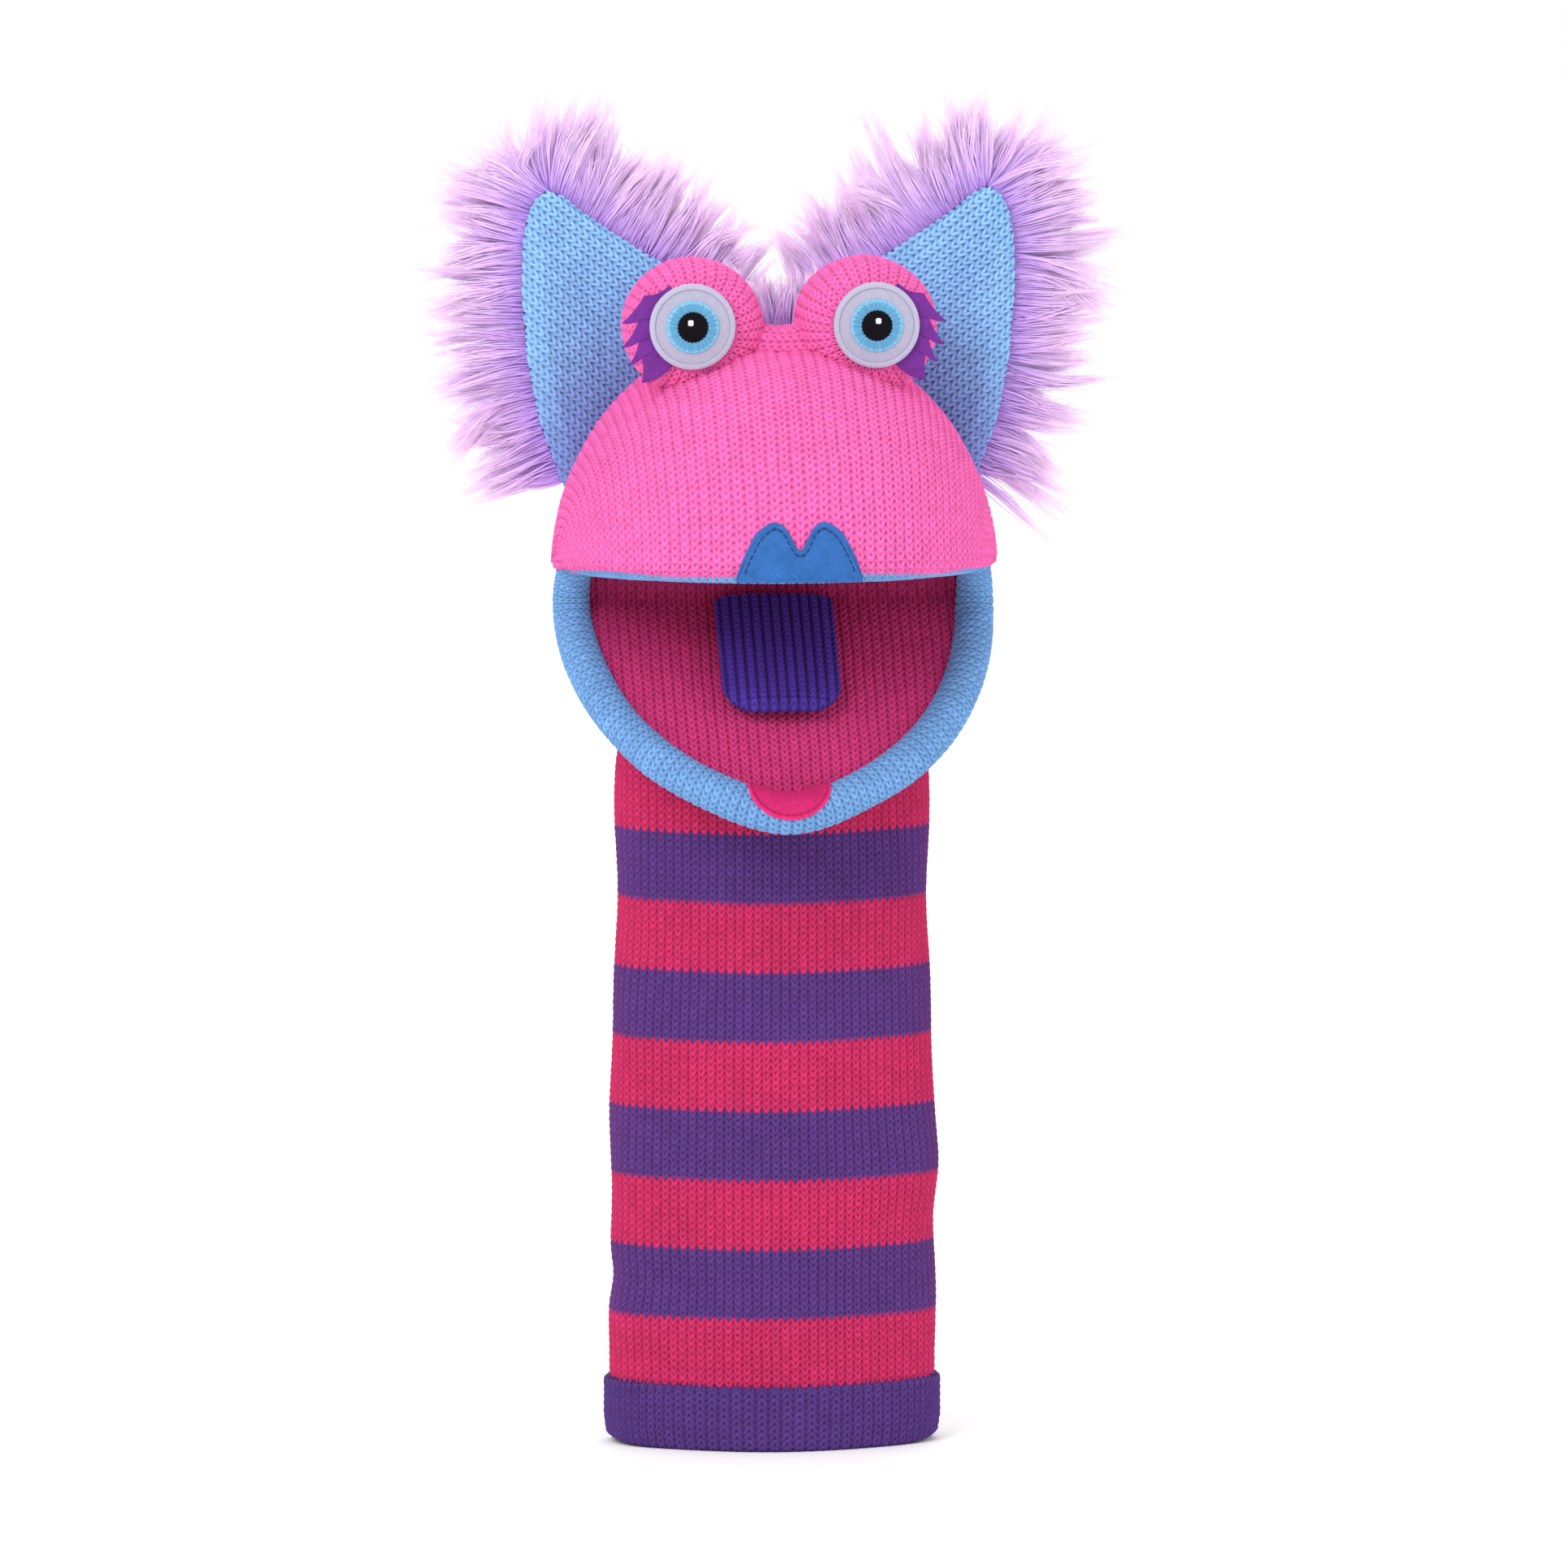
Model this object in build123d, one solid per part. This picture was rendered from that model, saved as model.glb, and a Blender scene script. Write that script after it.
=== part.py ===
"""Knitted monster sock puppet: a striped arm sleeve with a big hinged mouth, furry ears and frog eyes.

Row frame, millimetres: +Z up along the sleeve, the face looks along -Y, and the origin is the centre of
the arm opening at the hem's lower edge. "Left" is the puppet's own left, at +X.

Each jaw is drawn in its own frame, which has its origin on the jaw hinge, X across, -Y along the jaw
towards the lip and Z square to the jaw. Heights in a jaw's frame are called levels.
"""

import math
import os

from build123d import *

# ---- sleeve
HEM_TOP = 19.5
SLEEVE_TOP = 180.0
NECK_TOP = 222.0
SLEEVE_BASE_HALF = (49.5, 27.5)
SLEEVE_TOP_HALF = (47.0, 27.0)
KNIT = 2.0
HEM_HALF = (51.0, 29.0)
HEM_WALL = 3.7
HEM_ROUND = 1.5

# ---- joints
JAW_HINGE = (0.0, -6.0, 258.0)
UPPER_TILT = 4.0
LOWER_DROP = 43.0
TONGUE_LIFT = 6.0

# ---- head, in the upper jaw's frame
HEAD_HALF_WIDTH = 66.0
HEAD_FRONT = 92.0
HEAD_BACK = 38.0
HEAD_HEIGHT = 72.0
HEAD_LEVEL = 4.0
RIM_LEVEL = 5.7
PALATE_LEVEL = 8.0
LINING = 1.5
BOARD = 4.0
HAND_HALF_WIDTH = 46.0
HAND_FRONT = 76.0
HAND_BACK = 28.0
HAND_HEIGHT = 28.0
HAND_ROUND = 6.0
POCKET_CLOTH = 1.0

# ---- lips
UPPER_ROLL_R = 4.5
LOWER_ROLL_R = 5.75
ROLL_SKIN = 1.3
ROLL_START = 6.0
UPPER_ROLL_HALF = (59.0, 84.8)
LOWER_ROLL_HALF = (60.2, 82.85)
LOWER_ROLL_LEVEL = -8.5
CORNER_R = 5.0
FELT = 1.2
THREAD_R = 0.3
STITCH = 1.4
STITCH_PITCH = 2.3

# ---- lower jaw, in its own frame
LOWER_LEVEL = -8.0
LOWER_BOARD = 3.5
CHIN_HALF = (55.0, 77.0, 18.0)
CHIN_LEVEL = -11.0
CHIN_START = 14.0
CHIN_SKIN = 1.8
THUMB_HALF = (20.0, 28.0, 11.5)
THUMB_CENTRE = 33.0
THUMB_MOUTH = 15.0

# ---- tongue
TONGUE_WIDTH = 35.0
TONGUE_LENGTH = 46.0
TONGUE_THICK = 5.0
TONGUE_SKIN = 1.2
TONGUE_ROOT = 2.5
TONGUE_ROUND = 11.0

# ---- eyes
MOUND_X = 26.0
MOUND_Z = 337.0
MOUND_HALF = 19.5
MOUND_FRONT_Y = -41.0
MOUND_BACK_Y = -6.0
MOUND_FRONT_ROUND = 7.0
MOUND_BACK_ROUND = 15.0
EYE_X = 27.4
EYE_Z = 339.2
EYE_R = 12.35
EYE_DISC = 1.6
IRIS_R = 7.9
PUPIL_R = 4.6
GLINT_R = 1.1
THREAD_LAYER = 0.5
# Tips and notches of the felt eyelashes, from the eye's centre, outwards and up
LASH_EDGE = [
    (7.3, 11.6),
    (12.1, 11.0),
    (16.9, 8.0),
    (20.6, 0.7),
    (15.7, 1.2),
    (20.3, -6.3),
    (15.7, -4.8),
    (18.4, -11.4),
    (15.0, -9.2),
    (15.0, -16.7),
    (7.0, -12.1),
]

# ---- ears
EAR_FRONT_Y = 8.0
EAR_SKIN = 1.8
EAR_WADDING = 5.0
FUR_DEPTH = 24.0
FUR_OUTLINE = [
    (14.0, 330.0),
    (14.0, 368.0),
    (38.0, 384.0),
    (72.0, 394.0),
    (93.0, 382.0),
    (95.0, 330.0),
    (80.0, 275.0),
]
FUR_ROUND = 9.0
EAR_OUTLINE = [
    (10.0, 345.0),
    (30.0, 351.0),
    (57.0, 369.0),
    (66.0, 374.0),
    (73.5, 366.0),
    (74.0, 330.0),
    (64.0, 286.0),
]
EAR_ROUND = 5.0
EAR_BASE_NORMAL = (0.724, 0.690)
EAR_BASE_OFFSET = 66.5
EAR_CENTRE_Z = 262.0
FUR_INNER_X = 20.0
FUR_INNER_SLOPE = 0.35
MANE_HALF_WIDTH = 17.0
MANE_BACK_Y = 38.0

FAR = 400.0
GAP = 0.4


def jaw_frame(drop):
    """The frame of a jaw whose lip points down by drop degrees."""
    return Location(JAW_HINGE, (drop, 0, 0))


UPPER = jaw_frame(-UPPER_TILT)
LOWER = jaw_frame(LOWER_DROP)


def half_space(axis, low=None, high=None):
    """Everything between two heights along one axis."""
    low = -FAR if low is None else low
    high = FAR if high is None else high
    sizes = [2 * FAR] * 3
    centre = [0.0] * 3
    sizes["XYZ".index(axis)] = high - low
    centre["XYZ".index(axis)] = (high + low) / 2
    return Pos(*centre) * Box(*sizes)


def ellipsoid(x, y, z):
    return scale(Rot(0, 0, 90) * Sphere(1), by=(x, y, z))


def egg(half_width, front, back, height, low=None, high=None):
    """An ellipsoid longer to the front (-Y) than to the back, kept between two heights."""
    band = half_space("Z", low, high)
    ahead = ellipsoid(half_width, front, height) & (band & half_space("Y", high=0))
    behind = ellipsoid(half_width, back, height) & (band & half_space("Y", low=0))
    return ahead + behind


def jaw_plate(half_width, length, low, high, start):
    """A half-oval plate from start mm ahead of the hinge to the lip."""
    outline = Ellipse(half_width, length)
    plate = Pos(0, 0, low) * extrude(outline, high - low)
    return plate & half_space("Y", high=-start)


def lip_path(half, level):
    """The half oval that a lip roll follows, from ROLL_START ahead of the hinge on both sides."""
    first = math.degrees(math.asin(ROLL_START / half[1]))
    arc = EllipticalCenterArc((0, 0), half[0], half[1], start_angle=180 + first, arc_size=180 - 2 * first)
    return Pos(0, 0, level) * arc


def tube(path, radius):
    return sweep(Plane(origin=path @ 0, z_dir=path % 0) * Circle(radius), path=path)


def roll(half, level, radius):
    """A lip roll as its knitted cover and its foam core."""
    path = lip_path(half, level)
    core = tube(path, radius - ROLL_SKIN)
    return tube(path, radius) - core, core


def oval_tube(base, top, wall, low, high):
    """An oval sleeve wall between two heights, straight from one oval to the other."""

    def body(inset):
        lower = Pos(0, 0, low) * Ellipse(base[0] - inset, base[1] - inset)
        upper = Pos(0, 0, high) * Ellipse(top[0] - inset, top[1] - inset)
        return loft([lower, upper], ruled=True)

    return body(0) - body(wall)


def mirrored(shape):
    return mirror(shape, about=Plane.YZ)


def gathered(shape):
    """One compound of a shape's real solids, whichever way a cut returned them."""
    pieces = shape if isinstance(shape, list) else [shape]
    solids = [s for piece in pieces for s in piece.solids() if s.volume > 0.01]
    return Compound(children=solids)


# ---- sleeve

def make_sleeve():
    return oval_tube(SLEEVE_BASE_HALF, SLEEVE_TOP_HALF, KNIT, HEM_TOP, SLEEVE_TOP)


def make_hem():
    outer = extrude(Ellipse(*HEM_HALF), HEM_TOP)
    outer = fillet(outer.edges().group_by(Axis.Z)[0], HEM_ROUND)
    return outer - extrude(Ellipse(HEM_HALF[0] - HEM_WALL, HEM_HALF[1] - HEM_WALL), HEM_TOP)


# ---- head

def head_body(grow=0.0, low=0.0):
    """The head as a solid above one level, in the upper jaw's frame."""
    half = (HEAD_HALF_WIDTH + grow, HEAD_FRONT + grow, HEAD_BACK + grow, HEAD_HEIGHT + grow)
    return Pos(0, 0, HEAD_LEVEL) * egg(*half, low=low - HEAD_LEVEL)


def hand_space(grow=0.0):
    """The room for the fingers above the palate, in the upper jaw's frame."""
    ahead = Ellipse(HAND_HALF_WIDTH + grow, HAND_FRONT + grow)
    behind = Ellipse(HAND_HALF_WIDTH + grow, HAND_BACK + grow)
    plan = (ahead & Pos(0, -FAR / 2) * Rectangle(FAR, FAR)) + (behind & Pos(0, FAR / 2) * Rectangle(FAR, FAR))
    room = extrude(plan, HAND_HEIGHT + grow)
    room = fillet(room.edges().group_by(Axis.Z)[-1], HAND_ROUND)
    return Pos(0, 0, PALATE_LEVEL + LINING + BOARD) * room


def neck_body(inset=0.0):
    """The solid outline of the neck, from the sleeve's oval up to the head's."""
    sections = [
        (NECK_TOP, 0.0, SLEEVE_TOP_HALF),
        (244.0, -3.0, (57.0, 33.0)),
        (268.0, JAW_HINGE[1], (HEAD_HALF_WIDTH, HEAD_BACK)),
    ]
    return loft([Pos(0, y, z) * Ellipse(half[0] - inset, half[1] - inset) for z, y, half in sections])


def chin_body(grow=0.0, high=CHIN_LEVEL, start=CHIN_START):
    """The chin's bulge under the lower jaw, below one level of that jaw's frame."""
    band = half_space("Z", high=high) & half_space("Y", high=-start)
    return (Pos(0, 0, CHIN_LEVEL) * ellipsoid(*[h + grow for h in CHIN_HALF])) & band


def make_neck(chin_room):
    """The nape, and the two stretches of fabric that bend: round the wrist and beside the throat."""
    wall = neck_body() - neck_body(KNIT)
    wall = wall & (UPPER * half_space("Z", high=RIM_LEVEL))
    nape = wall & half_space("Y", low=8)
    throat = (wall & half_space("Y", high=8)) - chin_room
    wrist = oval_tube(SLEEVE_TOP_HALF, SLEEVE_TOP_HALF, KNIT, SLEEVE_TOP, NECK_TOP) - chin_room
    return nape, throat, wrist


def lip_bow(inset=0.0):
    """The upper lip's two-humped felt patch, drawn across X and up from the rim."""
    top, valley, half = 16.5 - inset, 8.5 - inset, 19.2 - inset
    side = [
        Bezier((half, -1), (15.5 - inset, 12 - inset), (12, top), (7.7, top)),
        Bezier((7.7, top), (4.4, top), (3.2, valley + 1), (0.9, valley)),
    ]
    return side


def make_upper_patch():
    half = lip_bow()
    edges = half + [mirror(e, about=Plane.YZ) for e in half]
    edges += [Line((0.9, 8.5), (-0.9, 8.5)), Line((19.2, -1), (-19.2, -1))]
    face = make_face(edges)
    cutter = Pos(0, 0, RIM_LEVEL) * extrude(Plane.XZ * face, FAR)
    layer = head_body(FELT) - head_body()
    return layer & cutter & half_space("Y", high=-HEAD_BACK) & half_space("Z", low=RIM_LEVEL)


def stitch_at(where, along):
    """One short stitch, lying along a direction."""
    return Plane(origin=where, z_dir=along) * Cylinder(THREAD_R, STITCH)


def head_front_y(x, level, grow):
    """How far forward the head's surface lies."""
    share = (x / (HEAD_HALF_WIDTH + grow)) ** 2 + ((level - HEAD_LEVEL) / (HEAD_HEIGHT + grow)) ** 2
    return -(HEAD_FRONT + grow) * math.sqrt(1 - share)


def on_snout(p, grow):
    """The place on the snout that a flat outline's point is laid over."""
    level = p.Y + RIM_LEVEL
    return Vector(p.X, head_front_y(p.X, level, grow), level)


def make_upper_stitching():
    """A row of stitches just inside the upper patch's edge."""
    grow = FELT + THREAD_R + 0.1
    stitches = []
    for edge in lip_bow(1.7):
        count = round(edge.length / STITCH_PITCH)
        for i in range(count):
            here, ahead = edge @ ((i + 0.5) / count), edge @ ((i + 0.6) / count)
            if here.Y > 1.2:
                start, finish = on_snout(here, grow), on_snout(ahead, grow)
                stitches.append(stitch_at(start, finish - start))
    return Compound(children=stitches + [mirrored(s) for s in stitches])


# ---- lower jaw

def make_thumb_pocket():
    outer = ellipsoid(*THUMB_HALF)
    inner = ellipsoid(*[h - POCKET_CLOTH for h in THUMB_HALF])
    floor = LOWER_LEVEL - LINING - LOWER_BOARD
    pocket = Pos(0, -THUMB_CENTRE, floor) * (outer - inner)
    return pocket & half_space("Z", high=floor) & half_space("Y", high=-THUMB_MOUTH)


def lower_patch_outline(inset=0.0):
    """The half-round edge of the lower lip's felt patch, seen square to the jaw."""
    return ThreePointArc((-12.2 + inset, -75.5), (0, -86.4 + inset), (12.2 - inset, -75.5))


def make_lower_patch(path):
    face = make_face([lower_patch_outline(), Line((-12.2, -75.5), (12.2, -75.5))])
    layer = tube(path, LOWER_ROLL_R + FELT) - tube(path, LOWER_ROLL_R)
    return layer & extrude(face, FAR, both=True) & half_space("Z", low=LOWER_LEVEL)


def make_lower_stitching():
    edge = lower_patch_outline(1.6)
    reach = LOWER_ROLL_R + FELT + THREAD_R + 0.1
    a, b = LOWER_ROLL_HALF

    def on_roll(p):
        turns = [k * 0.004 - 0.5 for k in range(251)]
        nearest = min(math.hypot(p.X - a * math.sin(t), p.Y + b * math.cos(t)) for t in turns)
        return Vector(p.X, p.Y, LOWER_ROLL_LEVEL + math.sqrt(max(reach**2 - nearest**2, 0)))

    count = round(edge.length / STITCH_PITCH)
    stitches = []
    for i in range(count):
        here, ahead = on_roll(edge @ ((i + 0.5) / count)), on_roll(edge @ ((i + 0.6) / count))
        stitches.append(stitch_at(here, ahead - here))
    return Compound(children=stitches)


def make_tongue():
    """The tongue's cover and wadding, in the frame of its own root."""

    def slab(inset):
        outline = Pos(0, -TONGUE_LENGTH / 2) * Rectangle(TONGUE_WIDTH - 2 * inset, TONGUE_LENGTH - 2 * inset)
        outline = fillet(outline.vertices().group_by(Axis.Y)[0], TONGUE_ROUND - inset)
        thick = TONGUE_THICK - 2 * inset
        body = Pos(0, 0, -thick / 2) * extrude(outline, thick)
        return fillet(body.edges().filter_by(Plane.XY), thick * 0.4)

    wadding = slab(TONGUE_SKIN)
    return slab(0) - wadding, wadding


# ---- eyes, on the left; the right ones are mirrored

def make_mound(inset, head):
    """A stuffed half dome for one eye, sitting on the head."""
    length = MOUND_BACK_Y - MOUND_FRONT_Y - 2 * inset
    body = extrude(Ellipse(MOUND_HALF - inset, MOUND_HALF - inset), length)
    body = Pos(MOUND_X, MOUND_BACK_Y - inset, MOUND_Z) * Rot(90, 0, 0) * body
    ends = body.edges().group_by(Axis.Y)
    body = fillet(ends[0], MOUND_FRONT_ROUND - inset)
    body = fillet(body.edges().group_by(Axis.Y)[-1], MOUND_BACK_ROUND - inset)
    return body - head


def eye_disc(radius, back_y, thick, x=EYE_X, z=EYE_Z):
    return Pos(x, back_y, z) * Rot(90, 0, 0) * extrude(Circle(radius), thick)


def make_eye():
    """The embroidered eye patch, from its white ground out to the glint."""
    ground_y = MOUND_FRONT_Y - FELT
    front_y = ground_y - EYE_DISC
    ground = eye_disc(EYE_R, ground_y, EYE_DISC)
    iris = eye_disc(IRIS_R, front_y, THREAD_LAYER) - eye_disc(PUPIL_R, front_y, THREAD_LAYER)
    pupil = eye_disc(PUPIL_R, front_y, THREAD_LAYER)
    glint = eye_disc(GLINT_R, front_y - THREAD_LAYER, THREAD_LAYER, EYE_X - 0.9, EYE_Z + 1.2)
    return ground, iris, pupil, glint


def make_lashes():
    points = [(EYE_X + x, EYE_Z + z) for x, z in LASH_EDGE]
    face = make_face(Polyline(points, close=True))
    return Pos(0, MOUND_FRONT_Y, 0) * extrude(Plane.XZ * face, FELT)


# ---- ears, on the left

def rounded_face(outline, radius):
    face = make_face(Polyline(outline, close=True))
    return fillet(face.vertices(), radius)


def ear_layer(face, low_y, high_y):
    """A slab of the ear between two depths, cut clear of the head along its straight base."""
    slab = Pos(0, high_y, 0) * extrude(Plane.XZ * face, high_y - low_y)
    angle = math.degrees(math.atan2(EAR_BASE_NORMAL[1], EAR_BASE_NORMAL[0]))
    keep = Pos(0, 0, EAR_CENTRE_Z) * Rot(0, -angle, 0) * half_space("X", low=EAR_BASE_OFFSET)
    return slab & keep


def make_ear():
    """The ear's knitted front, its wadding and its fur back."""
    front_y, wad_y = EAR_FRONT_Y, EAR_FRONT_Y + EAR_SKIN
    back_y = wad_y + EAR_WADDING
    ear_face, fur_face = rounded_face(EAR_OUTLINE, EAR_ROUND), rounded_face(FUR_OUTLINE, FUR_ROUND)
    front = ear_layer(ear_face, front_y, wad_y)
    wadding = ear_layer(ear_face, wad_y, back_y)
    fur = ear_layer(fur_face, back_y, back_y + FUR_DEPTH)
    lean = math.degrees(math.atan(FUR_INNER_SLOPE))
    keep = Pos(FUR_INNER_X, back_y, 0) * Rot(0, 0, -lean) * half_space("X", low=0)
    return front, wadding, fur & keep


def make_mane(head):
    """The strip of fur over the back of the head, between the ears."""
    slab = Pos(0, (MANE_BACK_Y + 16) / 2, 332) * Box(2 * MANE_HALF_WIDTH, MANE_BACK_Y - 16, 62)
    slab = fillet(slab.edges().filter_by(Axis.Y), 10)
    return slab - head


def make_corner(rolls, neighbours):
    """The short bend of lip roll that joins the two jaws at one side of the mouth."""
    top = UPPER * Pos(UPPER_ROLL_HALF[0] - 0.2, -ROLL_START, PALATE_LEVEL)
    bottom = LOWER * Pos(LOWER_ROLL_HALF[0] - 0.2, -ROLL_START, LOWER_ROLL_LEVEL)
    middle = (LOWER_ROLL_HALF[0] + 0.2, JAW_HINGE[1] + 8.5, JAW_HINGE[2] - 0.5)
    bend = tube(ThreePointArc(top.position, middle, bottom.position), CORNER_R)
    bend = bend & (UPPER * half_space("Z", high=RIM_LEVEL - 0.2))
    for other in [*rolls, *neighbours]:
        bend = bend - other
    return max(bend.solids(), key=lambda s: s.volume)


def make_mouth_back(half_width):
    """The fold of lining at the back of the mouth, round the hinge."""
    ring = Cylinder(-LOWER_LEVEL + LINING, 2 * half_width) - Cylinder(-LOWER_LEVEL, 2 * half_width)
    ring = Pos(*JAW_HINGE) * Rot(0, 90, 0) * ring
    ahead = 1.8
    return ring & (UPPER * half_space("Y", low=-ahead)) & (LOWER * half_space("Y", low=-ahead))


def build():
    """Every sub-part, by its node's name."""
    parts = {"sleeve": make_sleeve(), "hem_cuff": make_hem()}

    # Upper jaw and head
    head_local = head_body()
    head = UPPER * head_local
    board_level = PALATE_LEVEL + LINING
    foam_level = board_level + BOARD
    plate_half = (UPPER_ROLL_HALF[0] - UPPER_ROLL_R - 0.2, UPPER_ROLL_HALF[1] - UPPER_ROLL_R - 0.2)
    upper_cover, upper_core = roll(UPPER_ROLL_HALF, PALATE_LEVEL, UPPER_ROLL_R)
    shell = head_body(low=RIM_LEVEL) - head_body(-KNIT, low=RIM_LEVEL)
    foam = head_body(-KNIT, low=foam_level) - hand_space()
    pocket = hand_space() - Pos(0, 0, -POCKET_CLOTH) * hand_space(-POCKET_CLOTH)
    upper_parts = {
        "head_shell": shell,
        "head_foam": foam,
        "finger_pocket": pocket,
        "upper_jaw_board": jaw_plate(*plate_half, board_level, foam_level, 4),
        "palate_lining": jaw_plate(*plate_half, PALATE_LEVEL, board_level, 2),
        "upper_lip_roll": upper_cover,
        "upper_lip_core": upper_core,
        "upper_lip_patch": make_upper_patch(),
        "upper_lip_stitching": make_upper_stitching(),
    }
    parts.update({name: UPPER * gathered(shape) for name, shape in upper_parts.items()})

    # Lower jaw and tongue
    lower_half = (LOWER_ROLL_HALF[0] - LOWER_ROLL_R - 0.2, LOWER_ROLL_HALF[1] - LOWER_ROLL_R - 0.2)
    lower_board_level = LOWER_LEVEL - LINING - LOWER_BOARD
    lower_cover, lower_core = roll(LOWER_ROLL_HALF, LOWER_ROLL_LEVEL, LOWER_ROLL_R)
    lower_path = lip_path(LOWER_ROLL_HALF, LOWER_ROLL_LEVEL)
    chin = chin_body(0, lower_board_level) - chin_body(-CHIN_SKIN, lower_board_level)
    lower_parts = {
        "lower_lining": jaw_plate(*lower_half, LOWER_LEVEL - LINING, LOWER_LEVEL, 2),
        "lower_jaw_board": jaw_plate(*lower_half, lower_board_level, LOWER_LEVEL - LINING, 2),
        "chin_cover": chin,
        "thumb_pocket": make_thumb_pocket(),
        "lower_lip_roll": lower_cover,
        "lower_lip_core": lower_core,
        "lower_lip_patch": make_lower_patch(lower_path),
        "lower_lip_stitching": make_lower_stitching(),
    }
    tongue_frame = Pos(0, -TONGUE_ROOT, LOWER_LEVEL + TONGUE_THICK / 2 + GAP) * Rot(-TONGUE_LIFT, 0, 0)
    lower_parts["tongue_cover"], lower_parts["tongue_wadding"] = [tongue_frame * t for t in make_tongue()]
    parts.update({name: LOWER * gathered(shape) for name, shape in lower_parts.items()})

    # The fabric that folds as the jaw and the wrist move
    jaw_room = half_space("Z", low=lower_board_level - 1) & half_space("Y", high=4)
    chin_room = LOWER * (chin_body(GAP, start=0) + jaw_room)
    parts["nape"], parts["throat_gusset"], parts["neck_gusset"] = make_neck(chin_room)
    parts["mouth_back_lining"] = make_mouth_back(plate_half[0] - 2)
    rolls = [
        UPPER * tube(lip_path(UPPER_ROLL_HALF, PALATE_LEVEL), UPPER_ROLL_R),
        LOWER * tube(lower_path, LOWER_ROLL_R),
    ]
    beside = ("throat_gusset", "nape", "mouth_back_lining", "lower_jaw_board", "lower_lining")
    parts["mouth_corner_left"] = make_corner(rolls, [parts[n] for n in beside])

    # Eyes
    stuffing = make_mound(KNIT, head)
    parts["eye_mound_left"] = make_mound(0, head) - stuffing
    parts["eye_stuffing_left"] = stuffing
    eye = make_eye()
    for name, piece in zip(("eye_disc", "eye_iris", "eye_pupil", "eye_glint"), eye):
        parts[f"{name}_left"] = piece
    parts["eyelashes_left"] = make_lashes()
    bridge = Pos(0, -22, 334.5) * Rot(0, 90, 0) * Cylinder(3.4, 2 * (MOUND_X - MOUND_HALF) + 6)
    bridge = bridge - head - make_mound(0, head) - mirrored(make_mound(0, head))
    parts["brow_bridge"] = bridge

    # Ears
    parts["ear_front_left"], parts["ear_wadding_left"], parts["ear_fur_left"] = make_ear()
    parts["mane_fur"] = make_mane(UPPER * head_body(GAP))

    for name in [n for n in parts if n.endswith("_left")]:
        parts[name.replace("_left", "_right")] = mirrored(gathered(parts[name]))
    return parts


def main():
    os.makedirs("parts", exist_ok=True)
    for name, shape in build().items():
        export_step(gathered(shape), f"parts/{name}.step")


main()
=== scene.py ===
import math

import bpy
import numpy as np
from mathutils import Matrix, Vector


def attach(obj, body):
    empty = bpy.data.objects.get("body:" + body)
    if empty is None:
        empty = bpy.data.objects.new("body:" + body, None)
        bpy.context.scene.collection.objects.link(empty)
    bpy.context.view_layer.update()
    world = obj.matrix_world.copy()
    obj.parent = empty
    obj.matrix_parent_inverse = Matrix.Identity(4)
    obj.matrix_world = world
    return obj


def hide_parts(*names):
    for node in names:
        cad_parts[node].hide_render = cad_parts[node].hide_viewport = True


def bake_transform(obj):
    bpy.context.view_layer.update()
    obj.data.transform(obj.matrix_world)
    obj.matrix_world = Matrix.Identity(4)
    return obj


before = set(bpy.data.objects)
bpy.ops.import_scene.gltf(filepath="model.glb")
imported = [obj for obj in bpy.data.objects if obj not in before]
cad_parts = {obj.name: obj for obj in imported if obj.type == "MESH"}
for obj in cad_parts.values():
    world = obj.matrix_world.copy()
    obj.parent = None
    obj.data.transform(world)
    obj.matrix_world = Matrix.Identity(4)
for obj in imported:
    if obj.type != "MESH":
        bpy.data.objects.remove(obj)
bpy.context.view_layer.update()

MM = 0.001
rng = np.random.default_rng(20)

SIDES = {1: "left", -1: "right"}

# ------------------------------------------------------------------ sizes, in millimetres, as in the CAD
HINGE_Y, HINGE_Z = -6.0, 258.0
UPPER_DROP, LOWER_DROP = -4.0, 43.0  # how far each jaw tips down at rest, in degrees
HEAD = (66.0, 92.0, 38.0, 72.0)  # the egg's half width, front, back and height
HEAD_LEVEL = 4.0
EYE_X, EYE_Z, EYE_FRONT = 27.4, 339.2, -43.8
EAR_Y = 8.0
ROLL = (60.2, 82.85)  # the lower roll's centre line: half width and reach
ROLL_RADIUS, ROLL_LEVEL = 5.75, -8.5
TIP = 4.6  # the lower lip's point

# where cloth turns from one body to the next, as a start and an end
JAWS = ("head", "lower_jaw")
MOUTH_UP = (-0.334, 0.943)  # y and z of the way up, square to the plane between the jaws
WRIST = ((0, 0, 184), (0, 0, 218))
THROAT = ((0, 2.55, 252.46), (0, -1.93, 255.36))

# the knit: width of a wale and height of a course
WALE, COURSE, HEAD_COURSE = 2.9, 2.08, 2.45
WALES = 86  # round the sleeve
STRIPE_FOOT, STRIPE_ROWS, STRIPES = 19.0, 10, 8
SLEEVE_GAUGE = {"depth": 0.75, "wobble": 0.05, "shade": 0.6}

# ------------------------------------------------------------------ colour
def srgb(r, g, b):
    """Linear colour from 8-bit sRGB."""
    c = np.array([r, g, b], float) / 255
    return np.where(c <= 0.04045, c / 12.92, ((c + 0.055) / 1.055) ** 2.4)


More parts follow.
